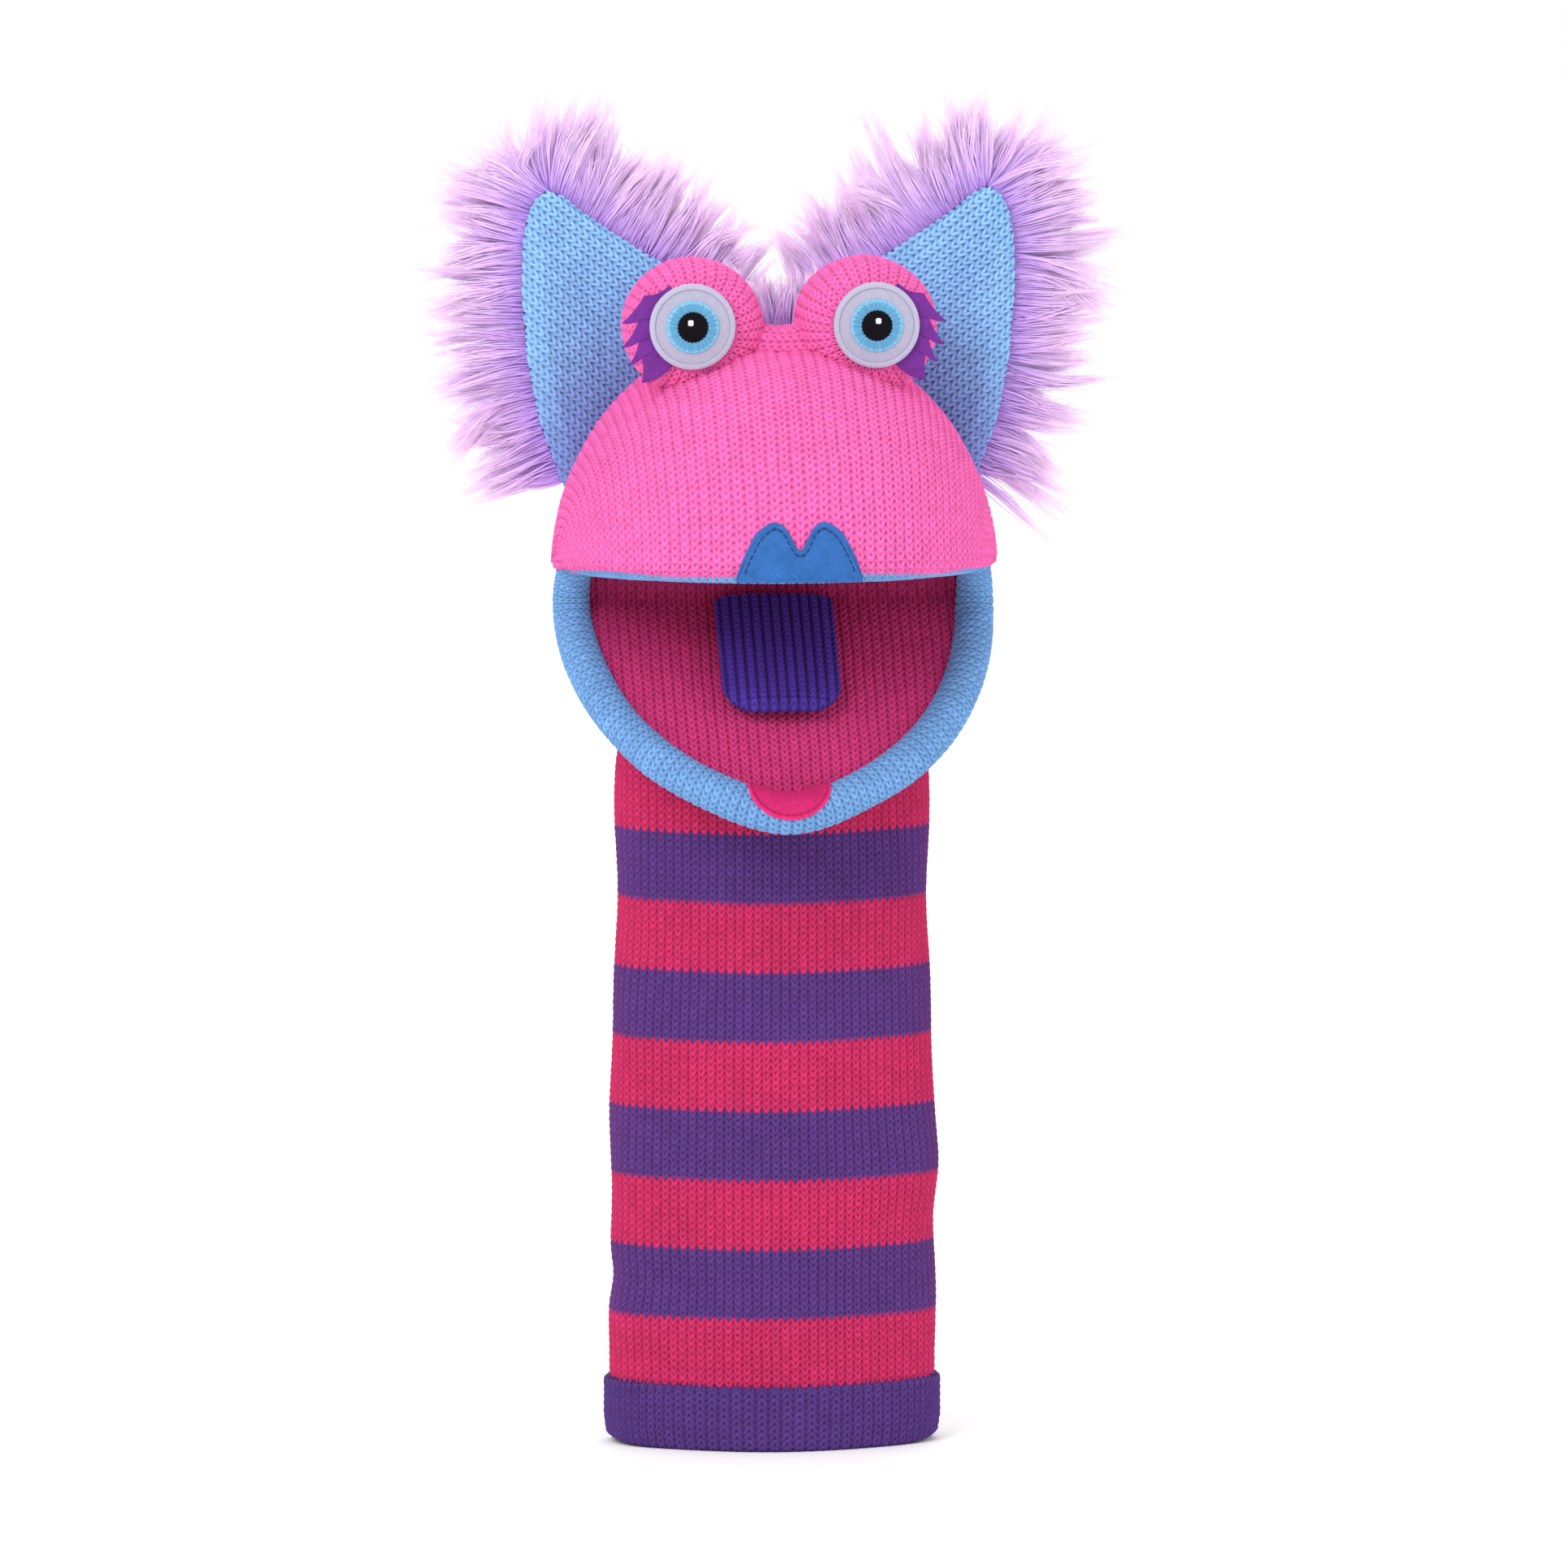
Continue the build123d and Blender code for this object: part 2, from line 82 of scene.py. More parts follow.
PINK = srgb(200, 42, 96)
PURPLE = srgb(84, 52, 126)
HEAD_PINK = srgb(250, 106, 182)
LINING = srgb(206, 56, 122)
LIP_BLUE = srgb(116, 164, 220)
EAR_BLUE = srgb(140, 190, 244)
# the ear's painted shade where it meets the head
EAR_PAINTED_SHADE = srgb(118, 104, 190)
TONGUE = srgb(76, 50, 156)
FELT_BLUE = srgb(48, 98, 164)
FELT_PINK = srgb(188, 36, 100)
FELT_PURPLE = srgb(108, 46, 136)
WHITE = srgb(172, 170, 194)
IRIS = srgb(88, 156, 194)
IRIS_RIM = srgb(116, 184, 216)
PUPIL = srgb(14, 13, 20)
FUR_ROOT = srgb(196, 150, 244)
FUR_MID = srgb(234, 196, 255)
FUR_TIP = srgb(255, 230, 255)


# ------------------------------------------------------------------ shorthand
def clip01(x):
    """x held between 0 and 1."""
    return np.clip(x, 0, 1)


def bell(x, middle, width):
    """A smooth bump of height 1 at middle."""
    return np.exp(-(((x - middle) / width) ** 2))


def circle(x):
    """The height of a unit circle over x, and 0 outside it."""
    return np.sqrt(clip01(1 - x**2))


def unit(v):
    """Vectors scaled to length 1."""
    return v / np.maximum(np.linalg.norm(v, axis=-1, keepdims=True), 1e-9)


def turned(count):
    """Angles of one full turn, without the repeated last one."""
    return np.linspace(0, 2 * math.pi, count, endpoint=False)


def run_along(line):
    """Distance along a line of points, from its first point."""
    return np.concatenate([[0], np.cumsum(np.linalg.norm(np.diff(line, axis=0), axis=1))])


def at_runs(line, runs):
    """Points of a line at distances along it."""
    run = run_along(line)
    return np.stack([np.interp(runs, run, column) for column in np.asarray(line).T], -1)


# ------------------------------------------------------------------ noise
def hash01(*keys):
    """A repeatable number from 0 to 1 for each set of keys."""
    mix = sum(k * m for k, m in zip(keys, (12.9898, 78.233, 37.719)))
    return np.modf(np.abs(np.sin(mix) * 43758.5453))[0]


def smooth_noise(p, size, seed=0):
    """Value noise from -1 to 1 at points p in mm, with blobs about size mm across."""
    q = p / size + seed * 17.3
    cell = np.floor(q)
    f = q - cell
    f = f * f * (3 - 2 * f)
    total = 0.0
    for dx in (0, 1):
        for dy in (0, 1):
            for dz in (0, 1):
                corner = hash01(cell[..., 0] + dx, cell[..., 1] + dy, cell[..., 2] + dz)
                wx = f[..., 0] if dx else 1 - f[..., 0]
                wy = f[..., 1] if dy else 1 - f[..., 1]
                wz = f[..., 2] if dz else 1 - f[..., 2]
                total = total + corner * wx * wy * wz
    return total * 2 - 1


# ------------------------------------------------------------------ meshes
def jaw_point(drop, x, ahead, level, hinge=(HINGE_Y, HINGE_Z)):
    """A point of a jaw's own frame, in the row frame, in mm."""
    t = math.radians(drop)
    y = hinge[0] - ahead * math.cos(t) - level * math.sin(t)
    z = hinge[1] - ahead * math.sin(t) + level * math.cos(t)
    return np.stack(np.broadcast_arrays(x, y, z), -1)


def make_mesh(name, verts, faces, **attributes):
    """A smooth mesh object from points in mm. attributes are per point: Col a colour, others vectors."""
    mesh = bpy.data.meshes.new(name)
    verts = np.asarray(verts, float).reshape(-1, 3)
    faces = np.asarray(faces, np.int32)
    mesh.vertices.add(len(verts))
    mesh.vertices.foreach_set("co", (verts * MM).astype(np.float32).ravel())
    sides = faces.shape[1]
    mesh.loops.add(faces.size)
    mesh.loops.foreach_set("vertex_index", faces.ravel())
    mesh.polygons.add(len(faces))
    mesh.polygons.foreach_set("loop_start", np.arange(0, faces.size, sides, dtype=np.int32))
    mesh.polygons.foreach_set("loop_total", np.full(len(faces), sides, np.int32))
    mesh.update(calc_edges=True)
    mesh.validate()
    mesh.polygons.foreach_set("use_smooth", np.full(len(mesh.polygons), True))
    for key, values in attributes.items():
        values = np.asarray(values, np.float32).reshape(len(verts), -1)
        if key == "Col":
            layer = mesh.attributes.new(key, "FLOAT_COLOR", "POINT")
            full = np.ones((len(verts), 4), np.float32)
            full[:, :3] = values
            layer.data.foreach_set("color", full.ravel())
        else:
            layer = mesh.attributes.new(key, "FLOAT_VECTOR", "POINT")
            layer.data.foreach_set("vector", values.ravel())
    obj = bpy.data.objects.new(name, mesh)
    bpy.context.scene.collection.objects.link(obj)
    return obj


def grid_faces(rows, cols, wrap=False, start=0):
    """Quads of a grid of points; wrap joins the last column to the first."""
    r = np.arange(rows - 1)[:, None]
    c = np.arange(cols if wrap else cols - 1)[None, :]
    n = (c + 1) % cols
    quads = np.stack([r * cols + c, r * cols + n, (r + 1) * cols + n, (r + 1) * cols + c], -1)
    return quads.reshape(-1, 4) + start


def grid_normals(p, wrap=False):
    """Unit normals of a grid of points; wrap joins the last column to the first."""
    du = np.roll(p, -1, 1) - np.roll(p, 1, 1) if wrap else np.gradient(p, axis=1)
    dv = np.gradient(p, axis=0)
    return unit(np.cross(du, dv))


def arc_lengths(p, axis):
    """Distance along a grid's rows (axis 1) or columns (axis 0), from the first point."""
    step = np.linalg.norm(np.diff(p, axis=axis), axis=-1)
    zero = np.zeros_like(np.take(step, [0], axis=axis))
    return np.concatenate([zero, np.cumsum(step, axis=axis)], axis=axis)


def from_middle(p):
    """Distance along each row of a grid from its middle column."""
    across = arc_lengths(p, 1)
    return across - across[:, [p.shape[1] // 2]]


def mottled(colour, p, size, seed):
    """A colour that drifts a little over points p."""
    return clip01(colour * (1 + 0.06 * smooth_noise(p, size, seed))[..., None])


# ------------------------------------------------------------------ knitting
SLANT = 0.31  # how far a stitch leg leans across its wale
LEG = 0.215  # half its width


def knit_relief(w, c):
    """Height of stockinette at wale w and course c, from 0 in the holes to 1 on the yarn, and the
    row whose yarn is on top."""
    x = np.abs(w % 1.0 - 0.5)
    whole = np.floor(c)
    best = np.zeros_like(w)
    row = whole.copy()
    for k in (-1, 0, 1):
        t = c - whole - k
        d = (x - (0.075 + SLANT * t)) / LEG
        cap = clip01(1 - ((t - 0.5) / 0.80) ** 2)
        h = np.sqrt(clip01(1 - d * d)) * np.sqrt(cap) * (1.02 - 0.34 * (t - 0.5))
        row = np.where(h > best, whole + k, row)
        best = np.maximum(h, best)
    return best, row


def knit(name, p, w, c, colour, depth=0.55, wrap=False, wobble=0.05, sign=1, shade=0.55, painted_light=None):
    """A knitted fabric over a grid of points p in mm: yarn relief, uneven stitches and shaded holes.
    w and c count wales and courses, sign is the outward side of the grid. colour is one colour, one
    for each point, or a function of the row and the wale."""
    w = w + wobble * smooth_noise(p, 9.0, 1) + 0.5 * wobble * smooth_noise(p, 3.5, 5)
    c = c + wobble * smooth_noise(p, 8.0, 2)
    h, row = knit_relief(w, c)
    wale = np.floor(w)
    tension = 1 + 0.10 * (hash01(wale, row) - 0.5) + 0.10 * smooth_noise(p, 14.0, 3)
    n = grid_normals(p, wrap) * sign
    points = p + n * (depth * (h * tension - 0.6))[..., None]
    base = colour(row, wale) if callable(colour) else colour
    # painted shade: the holes between stitches are darker, where the yarn lies lowest
    tone = (1 - shade) + shade * np.clip(h, 0, 1.1) ** 1.3
    tone = tone * (1.04 + 0.16 * (hash01(wale + 0.5, row + 7) - 0.5) + 0.05 * smooth_noise(p, 25.0, 4))
    # a caller's painted light and shade, multiplied into the tone
    if painted_light is not None:
        tone = tone * painted_light
    faces = grid_faces(*p.shape[:2], wrap)
    if sign < 0:
        faces = faces[:, ::-1]
    coords = np.stack([w, c, np.zeros_like(w)], -1)
    return make_mesh(name, points, faces, Col=clip01(base * tone[..., None]), knit=coords)


# ------------------------------------------------------------------ materials
def new_material(name, roughness=0.9, sheen=0.0, sheen_tint=(1, 1, 1), specular=0.3):
    """A material and its shader, with the values that are the same all over set on the shader."""
    mat = bpy.data.materials.new(name)
    mat.use_nodes = True
    nodes = mat.node_tree.nodes
    bsdf = nodes["Principled BSDF"]
    bsdf.inputs["Roughness"].default_value = roughness
    bsdf.inputs["Specular IOR Level"].default_value = specular
    bsdf.inputs["Sheen Weight"].default_value = sheen
    bsdf.inputs["Sheen Roughness"].default_value = 0.5
    bsdf.inputs["Sheen Tint"].default_value = (*sheen_tint, 1)
    return mat, bsdf


class Graph:
    """Short ways to add shader nodes."""

    def __init__(self, mat):
        self.tree = mat.node_tree

    def add(self, kind, **values):
        node = self.tree.nodes.new(kind)
        for key, value in values.items():
            setattr(node, key, value)
        return node

    def link(self, a, b):
        self.tree.links.new(a, b)

    def coords(self):
        return self.add("ShaderNodeTexCoord").outputs["Object"]

    def painted(self):
        """The colour painted on the mesh."""
        return self.add("ShaderNodeAttribute", attribute_name="Col").outputs["Color"]

    def math(self, operation, a, b=None):
        node = self.add("ShaderNodeMath", operation=operation)
        for socket, value in zip(node.inputs, (a, b)):
            if isinstance(value, (int, float)):
                socket.default_value = value
            elif value is not None:
                self.link(value, socket)
        return node.outputs[0]

    def noise(self, vector, scale, detail=3.0, roughness=0.6):
        node = self.add("ShaderNodeTexNoise")
        node.inputs["Scale"].default_value = scale
        node.inputs["Detail"].default_value = detail
        node.inputs["Roughness"].default_value = roughness
        self.link(vector, node.inputs["Vector"])
        return node.outputs["Fac"]

    def spread(self, value, low, high, out_low, out_high):
        node = self.add("ShaderNodeMapRange")
        self.link(value, node.inputs["Value"])
        for key, number in zip(("From Min", "From Max", "To Min", "To Max"), (low, high, out_low, out_high)):
            node.inputs[key].default_value = number
        return node.outputs["Result"]

    def ramp(self, value, low_colour, high_colour, low=0.0, high=1.0):
        node = self.add("ShaderNodeValToRGB")
        for stop, at, colour in zip(node.color_ramp.elements, (low, high), (low_colour, high_colour)):
            stop.position = at
            stop.color = (*colour, 1)
        self.link(value, node.inputs["Fac"])
        return node.outputs["Color"]

    def tinted(self, colour, tone):
        """colour times a grey tone."""
        node = self.add("ShaderNodeMix", data_type="RGBA", blend_type="MULTIPLY")
        node.inputs["Factor"].default_value = 1.0
        self.link(colour, node.inputs["A"])
        self.link(tone, node.inputs["B"])
        return node.outputs["Result"]

    def bump(self, bsdf, height, strength, distance):
        node = self.add("ShaderNodeBump")
        node.inputs["Strength"].default_value = strength
        node.inputs["Distance"].default_value = distance
        self.link(height, node.inputs["Height"])
        self.link(node.outputs["Normal"], bsdf.inputs["Normal"])


def yarn_material(name, tint):
    """Spun yarn: plies and loose fibres that follow each stitch's legs, over the painted colour."""
    mat, bsdf = new_material(name, roughness=0.86, sheen=0.35, sheen_tint=tuple(tint), specular=0.2)
    g = Graph(mat)
    place = g.add("ShaderNodeSeparateXYZ")
    g.link(g.add("ShaderNodeAttribute", attribute_name="knit").outputs["Vector"], place.inputs[0])
    w, c = place.outputs[0], place.outputs[1]
    side = g.math("SUBTRACT", g.math("MULTIPLY", g.math("GREATER_THAN", g.math("FRACT", w), 0.5), 2.0), 1.0)
    across = g.math("SUBTRACT", w, g.math("MULTIPLY", g.math("MULTIPLY", side, SLANT + 0.25), c))
    along = g.add("ShaderNodeCombineXYZ")
    g.link(g.math("MULTIPLY", across, 15.0), along.inputs[0])
    g.link(g.math("MULTIPLY", c, 2.4), along.inputs[1])
    g.link(g.math("MULTIPLY", side, 9.0), along.inputs[2])
    ply = g.noise(along.outputs[0], 1.0, 3.0, 0.65)
    coords = g.coords()
    fibre = g.noise(coords, 2600.0, 2.0, 0.7)
    patch = g.noise(coords, 90.0, 2.0, 0.5)
    tone = g.math("MULTIPLY", g.spread(ply, 0.3, 0.7, 0.80, 1.14), g.spread(fibre, 0.3, 0.7, 0.92, 1.08))
    tone = g.math("MULTIPLY", tone, g.spread(patch, 0.3, 0.7, 0.96, 1.04))
    g.link(g.tinted(g.painted(), tone), bsdf.inputs["Base Color"])
    g.bump(bsdf, g.math("ADD", ply, g.math("MULTIPLY", fibre, 0.5)), 0.55, 0.00035)
    g.link(g.spread(ply, 0.3, 0.7, 0.92, 0.78), bsdf.inputs["Roughness"])
    return mat


def felt_material(name, tint):
    """Pressed felt: matted short fibres with no weave."""
    mat, bsdf = new_material(name, roughness=0.95, sheen=0.5, sheen_tint=tuple(tint), specular=0.15)
    g = Graph(mat)
    coords = g.coords()
    bend = g.add("ShaderNodeVectorMath", operation="MULTIPLY_ADD")
    warp = g.add("ShaderNodeTexNoise")
    warp.inputs["Scale"].default_value = 500.0
    g.link(coords, warp.inputs["Vector"])
    g.link(warp.outputs["Color"], bend.inputs[0])
    bend.inputs[1].default_value = (0.002, 0.002, 0.002)
    g.link(coords, bend.inputs[2])
    matted = g.noise(bend.outputs[0], 1500.0, 4.0, 0.7)
    clouds = g.noise(coords, 260.0, 3.0, 0.6)
    tone = g.math("MULTIPLY", g.spread(matted, 0.3, 0.7, 0.82, 1.16), g.spread(clouds, 0.3, 0.7, 0.90, 1.10))
    g.link(g.tinted(g.painted(), tone), bsdf.inputs["Base Color"])
    g.bump(bsdf, matted, 0.7, 0.0004)
    return mat


def thread_material(name, roughness=0.4, specular=0.35):
    """Glossy embroidery thread, with the twist of the thread across each stitch."""
    mat, bsdf = new_material(name, roughness=roughness, sheen=0.0, specular=specular)
    g = Graph(mat)
    coords = g.coords()
    fine = g.noise(coords, 2200.0, 3.0, 0.6)
    g.link(g.tinted(g.painted(), g.spread(fine, 0.3, 0.7, 0.9, 1.08)), bsdf.inputs["Base Color"])
    g.bump(bsdf, fine, 0.3, 0.0002)
    g.link(g.spread(fine, 0.3, 0.7, roughness - 0.06, roughness + 0.12), bsdf.inputs["Roughness"])
    return mat


def fur_material(name, tint):
    """Long synthetic pile, a little see-through."""
    mat, bsdf = new_material(name, roughness=0.55, sheen=0.25, sheen_tint=tuple(tint), specular=0.35)
    bsdf.inputs["Subsurface Weight"].default_value = 0.25
    bsdf.inputs["Subsurface Radius"].default_value = (1.0, 0.7, 1.0)
    bsdf.inputs["Subsurface Scale"].default_value = 0.004
    g = Graph(mat)
    coords = g.coords()
    lock = g.noise(coords, 220.0, 2.0, 0.5)
    g.link(g.tinted(g.painted(), g.spread(lock, 0.3, 0.7, 0.9, 1.07)), bsdf.inputs["Base Color"])
    return mat


def plain_cloth(name, colour, scale):
    """Woven cloth, wadding or board for the pieces inside."""
    mat, bsdf = new_material(name, sheen=0.2, specular=0.2)
    g = Graph(mat)
    coords = g.coords()
    grain = g.noise(coords, scale, 4.0, 0.65)
    g.link(g.ramp(grain, np.asarray(colour) * 0.7, colour, 0.3, 0.7), bsdf.inputs["Base Color"])
    g.bump(bsdf, grain, 0.6, 0.0005)
    return mat


YARN_PINK = yarn_material("yarn_stripes", PINK)
YARN_HEM = yarn_material("yarn_hem", PURPLE)
YARN_HEAD = yarn_material("yarn_head", HEAD_PINK)
YARN_LINING = yarn_material("yarn_lining", LINING)
YARN_LIP = yarn_material("yarn_lip", LIP_BLUE)
YARN_EAR = yarn_material("yarn_ear", EAR_BLUE)
YARN_TONGUE = yarn_material("yarn_tongue", TONGUE)
FELT_COLOURS = {"blue": FELT_BLUE, "pink": FELT_PINK, "purple": FELT_PURPLE}
FELT = {key: felt_material("felt_" + key, colour) for key, colour in FELT_COLOURS.items()}
THREAD = thread_material("embroidery_thread")
PUPIL_THREAD = thread_material("pupil_thread", 0.75, 0.08)
SEWING = thread_material("sewing_thread", 0.55)
FUR = fur_material("long_pile", FUR_MID)


def finish_piece(obj, mat, body, slot, *nodes):
    """Material, body and the CAD nodes that a piece stands for; slot is not used."""
    obj.data.materials.append(mat)
    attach(obj, body)
    if nodes:
        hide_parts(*nodes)


def finish_blend(obj, mat, bodies, axis, slot, *nodes):
    """Material and the CAD nodes that a piece stands for, its transform baked into its points; bodies, axis
    and slot are not used.
    """
    obj.data.materials.append(mat)
    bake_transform(obj)
    if nodes:
        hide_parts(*nodes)


# ------------------------------------------------------------------ sleeve
SLEEVE_KEYS = [
    # height, centre y, half width, half depth
    (0.0, 0.0, 49.5, 27.5),
    (80.0, 0.0, 49.3, 27.3),
    (180.0, 0.0, 47.0, 27.0),
    (222.0, 0.0, 47.5, 27.5),
    (244.0, -3.0, 57.0, 33.0),
    (262.0, -6.0, 64.0, 37.0),
]


def sleeve_section(z):
    """Centre y, half width and half depth at a height."""
    keys = np.array(SLEEVE_KEYS)
    return [np.interp(z, keys[:, 0], keys[:, i]) for i in (1, 2, 3)]


def soften(values, passes):
    """Each value averaged with its neighbours, several times; the two ends stay."""
    for _ in range(passes):
        values = np.concatenate([values[:1], (values[:-2] + 2 * values[1:-1] + values[2:]) / 4, values[-1:]])
    return values


def sleeve_points(phi, z):
    """The sleeve's outer surface: phi is the angle from the front, positive towards +X."""
    heights = np.linspace(0, 270, 271)
    middle, width, depth = [np.interp(z, heights, soften(v, 60)) for v in sleeve_section(heights)]
    x = width * np.sin(phi) * (1 + 0.02 * np.cos(2 * phi))
    y = middle - depth * np.cos(phi) * (1.0 + 0.06 * np.cos(4 * phi))
    # slack folds: two creases, a bulge low on one side and faint ripples
    crease = 0.8 * bell(z, 212, 6.0) + 1.5 * bell(z, 50, 7.0) * clip01(-np.sin(phi))
    bulge = 1.6 * bell(z, 82, 12.0) * clip01(np.sin(phi)) ** 2
    ripple = 0.55 * np.sin(z / 13.0 + 1.7 * np.sin(phi * 2 + 0.6))
    ripple = ripple + 0.4 * np.sin(z / 7.3 + 3 * np.cos(phi) + 1.0)
    push = bulge - crease + ripple * (0.25 + 0.5 * np.sin(phi) ** 2)
    push = push * clip01((z - 16) / 18)
    return np.stack([x + push * np.sin(phi), y - push * np.cos(phi) * 0.8, z], -1)


def sleeve_top(phi):
    """How high the tube reaches: low under the jaw, up to the head at the back."""
    turns = [0, 0.6, 1.1, 1.35, 1.5, 1.65, 1.8, math.pi]
    return np.interp(np.abs(phi), turns, [219, 223, 233, 241, 250, 261, 267, 267])


def sleeve_colour(row, _wale):
    """The stripes: bands of equal rows, pink first, and all pink above the wrist."""
    stripe = np.floor(row / STRIPE_ROWS)
    purple = (stripe >= 0) & (stripe < STRIPES) & (stripe % 2 == 1)
    return np.where(purple[..., None], PURPLE, PINK)


def make_sleeve():
    """The striped tube, from inside the hem to the throat and the back of the head."""
    cols, rows, foot = WALES * 7, 600, 15.0
    turn = np.linspace(-math.pi, math.pi, cols, endpoint=False)
    # equal arc per wale rather than equal angle
    ring = sleeve_points(turn, np.full(cols, 100.0))
    run = run_along(np.concatenate([ring, ring[:1]]))
    turn = np.interp(np.arange(cols) / cols * run[-1], run, np.append(turn, math.pi))
    phi = turn[None].repeat(rows, 0)
    z = foot + (sleeve_top(phi) - foot) * np.linspace(0, 1, rows)[:, None]
    w = (np.arange(cols) / cols * WALES)[None].repeat(rows, 0)
    c = (z - STRIPE_FOOT) / COURSE
    obj = knit("sleeve_knit", sleeve_points(phi, z), w, c, sleeve_colour, wrap=True, **SLEEVE_GAUGE)
    nodes = ("sleeve", "neck_gusset", "nape")
    finish_blend(obj, YARN_PINK, ("sleeve", "head"), WRIST, "sleeve_knit", *nodes)


def make_sleeve_inside():
    """The wrong side of the sleeve, seen up the arm opening."""
    cols, rows, foot = WALES * 3, 150, 8.0
    phi = np.linspace(-math.pi, math.pi, cols, endpoint=False)[None].repeat(rows, 0)
    z = foot + (sleeve_top(phi) - foot - 2.0) * np.linspace(0, 1, rows)[:, None]
    c = (z - STRIPE_FOOT) / COURSE
    w = (np.arange(cols) / cols * WALES)[None].repeat(rows, 0)
    # a little thicker inside the hem; purl bumps stand inwards
    purl = np.abs(np.sin(math.pi * c))
    depth = np.where(z > 20, 1.9, 2.4) + purl * 0.4 + 0.15 * np.sin(2 * math.pi * w)
    p = sleeve_points(phi, z)
    p = p - grid_normals(p, True) * depth[..., None]
    # painted shade: the wrong side is darker up inside the tube, and a little lighter on the purl bumps
    col = sleeve_colour(np.floor(c), w) * (0.55 + 0.25 * purl)[..., None]
    coords = np.stack([w, c, 0 * w], -1)
    obj = make_mesh("sleeve_inside", p, grid_faces(rows, cols, True), Col=col, knit=coords)
    finish_blend(obj, YARN_PINK, ("sleeve", "head"), WRIST, "sleeve_knit")


def hem_profile(half_wall, high, round_up=1.2, fold=2.0):
    """The closed section of the turned-up hem: outward offset from the wall's middle, and height."""
    straight = high - round_up - fold
    section = [(half_wall, high - round_up - t * straight) for t in np.linspace(0, 1, 60)]
    for t in np.linspace(0, math.pi, 22)[1:-1]:
        section.append((half_wall * math.cos(t), fold - half_wall * math.sin(t)))
    section += [(-half_wall, fold + t * straight) for t in np.linspace(0, 1, 50)]
    for t in np.linspace(math.pi, 0, 14)[1:]:
        section.append((half_wall * math.cos(t), high - round_up + round_up * math.sin(t)))
    return np.array(section)


def hem_ring(phi, width, depth):
    """x and y of the hem's rounded oblong at angle phi."""
    x = width * np.sin(phi) * (1 + 0.02 * np.cos(2 * phi))
    return x, -depth * np.cos(phi) * (1 + 0.06 * np.cos(4 * phi))


def make_hem():
    """The turned-up hem round the arm opening, tacked to the sleeve."""
    high, width, depth = 19.3, 49.2, 27.2
    section = hem_profile(1.95, high)
    off, z = section[:, :1], section[:, 1:]
    phi = np.linspace(-math.pi, math.pi, WALES * 6, endpoint=False)[None].repeat(len(section), 0)
    # the lower edge draws in a little, lifts at the sides and waves
    lift = 1.7 * np.abs(np.sin(phi)) ** 8 * clip01(1 - z / 12)
    pinch = 1 - 0.018 * clip01(1 - z / 7)
    wave = 0.075 * np.sin(3 * phi + 0.7) + 0.045 * np.sin(7 * phi)
    x, y = hem_ring(phi, width * pinch + off, depth + off)
    p = np.stack([x, y + wave, z + lift], -1)
    w = (phi + math.pi) / (2 * math.pi) * WALES
    obj = knit("hem_knit", p, w, arc_lengths(p, 0) / COURSE, PURPLE, wrap=True, sign=-1, **SLEEVE_GAUGE)
    finish_piece(obj, YARN_HEM, "sleeve", "hem_knit", "hem_cuff")
    # overcast stitches that tack the hem's top edge to the sleeve
    stitches = []
    for i in range(WALES):
        angle = -math.pi + (i + 0.5) / WALES * 2 * math.pi
        near, far = [hem_ring(angle, width + r, depth + r) for r in (0.5, 1.9)]
        stitches.append([(*near, high + 0.7), (*far, high - 0.5), (*far, high - 1.8)])
    obj = strands_mesh("hem_tacking", stitches, 0.3, PURPLE * 0.8)
    finish_piece(obj, SEWING, "sleeve", "hem_knit")


def tube_rings(path, radius, sides, up=(0, 0, 1)):
    """Rings of points round a path, (len(path), sides, 3), with a steady twist."""
    path = np.asarray(path, float)
    tangent = unit(np.gradient(path, axis=0))
    side = unit(np.cross(tangent, np.asarray(up, float)))
    rise = np.cross(side, tangent)
    angle = turned(sides)[None, :, None]
    radius = np.broadcast_to(radius, (len(path),))[:, None, None]
    return path[:, None] + (side[:, None] * np.cos(angle) + rise[:, None] * np.sin(angle)) * radius


def strands_mesh(name, lines, radius, colour, sides=6):
    """Short threads along lines of points, with rounded ends."""
    verts, faces, cols = [], [], []
    count = 0
    for i, line in enumerate(lines):
        line = np.asarray(line, float)
        first, last = unit(line[0] - line[1]), unit(line[-1] - line[-2])
        path = np.concatenate([[line[0] + first * radius * 0.7], line, [line[-1] + last * radius * 0.7]])
        radii = np.full(len(path), radius)
        radii[[0, -1]] *= 0.3
        verts.append(tube_rings(path, radii, sides, up=(0.3, -1, 0.35)).reshape(-1, 3))
        faces.append(grid_faces(len(path), sides, True, count)[:, ::-1])
        count += len(verts[-1])
        tone = 0.85 + 0.3 * hash01(np.full(len(verts[-1]), i * 3.1))
        cols.append(np.asarray(colour)[None] * tone[:, None])
    verts, faces, cols = [np.concatenate(part) for part in (verts, faces, cols)]
    return make_mesh(name, verts, faces, Col=clip01(cols))


# ------------------------------------------------------------------ head
def dome(a, b):
    """Point of the head's egg at sideways angle a and lip-to-back angle b, as x, ahead, level."""
    half_width, front, back, high = HEAD
    ahead = np.cos(a) * np.where(np.cos(b) > 0, front, back) * np.cos(b)
    return half_width * np.sin(a), ahead, high * np.cos(a) * np.sin(b)


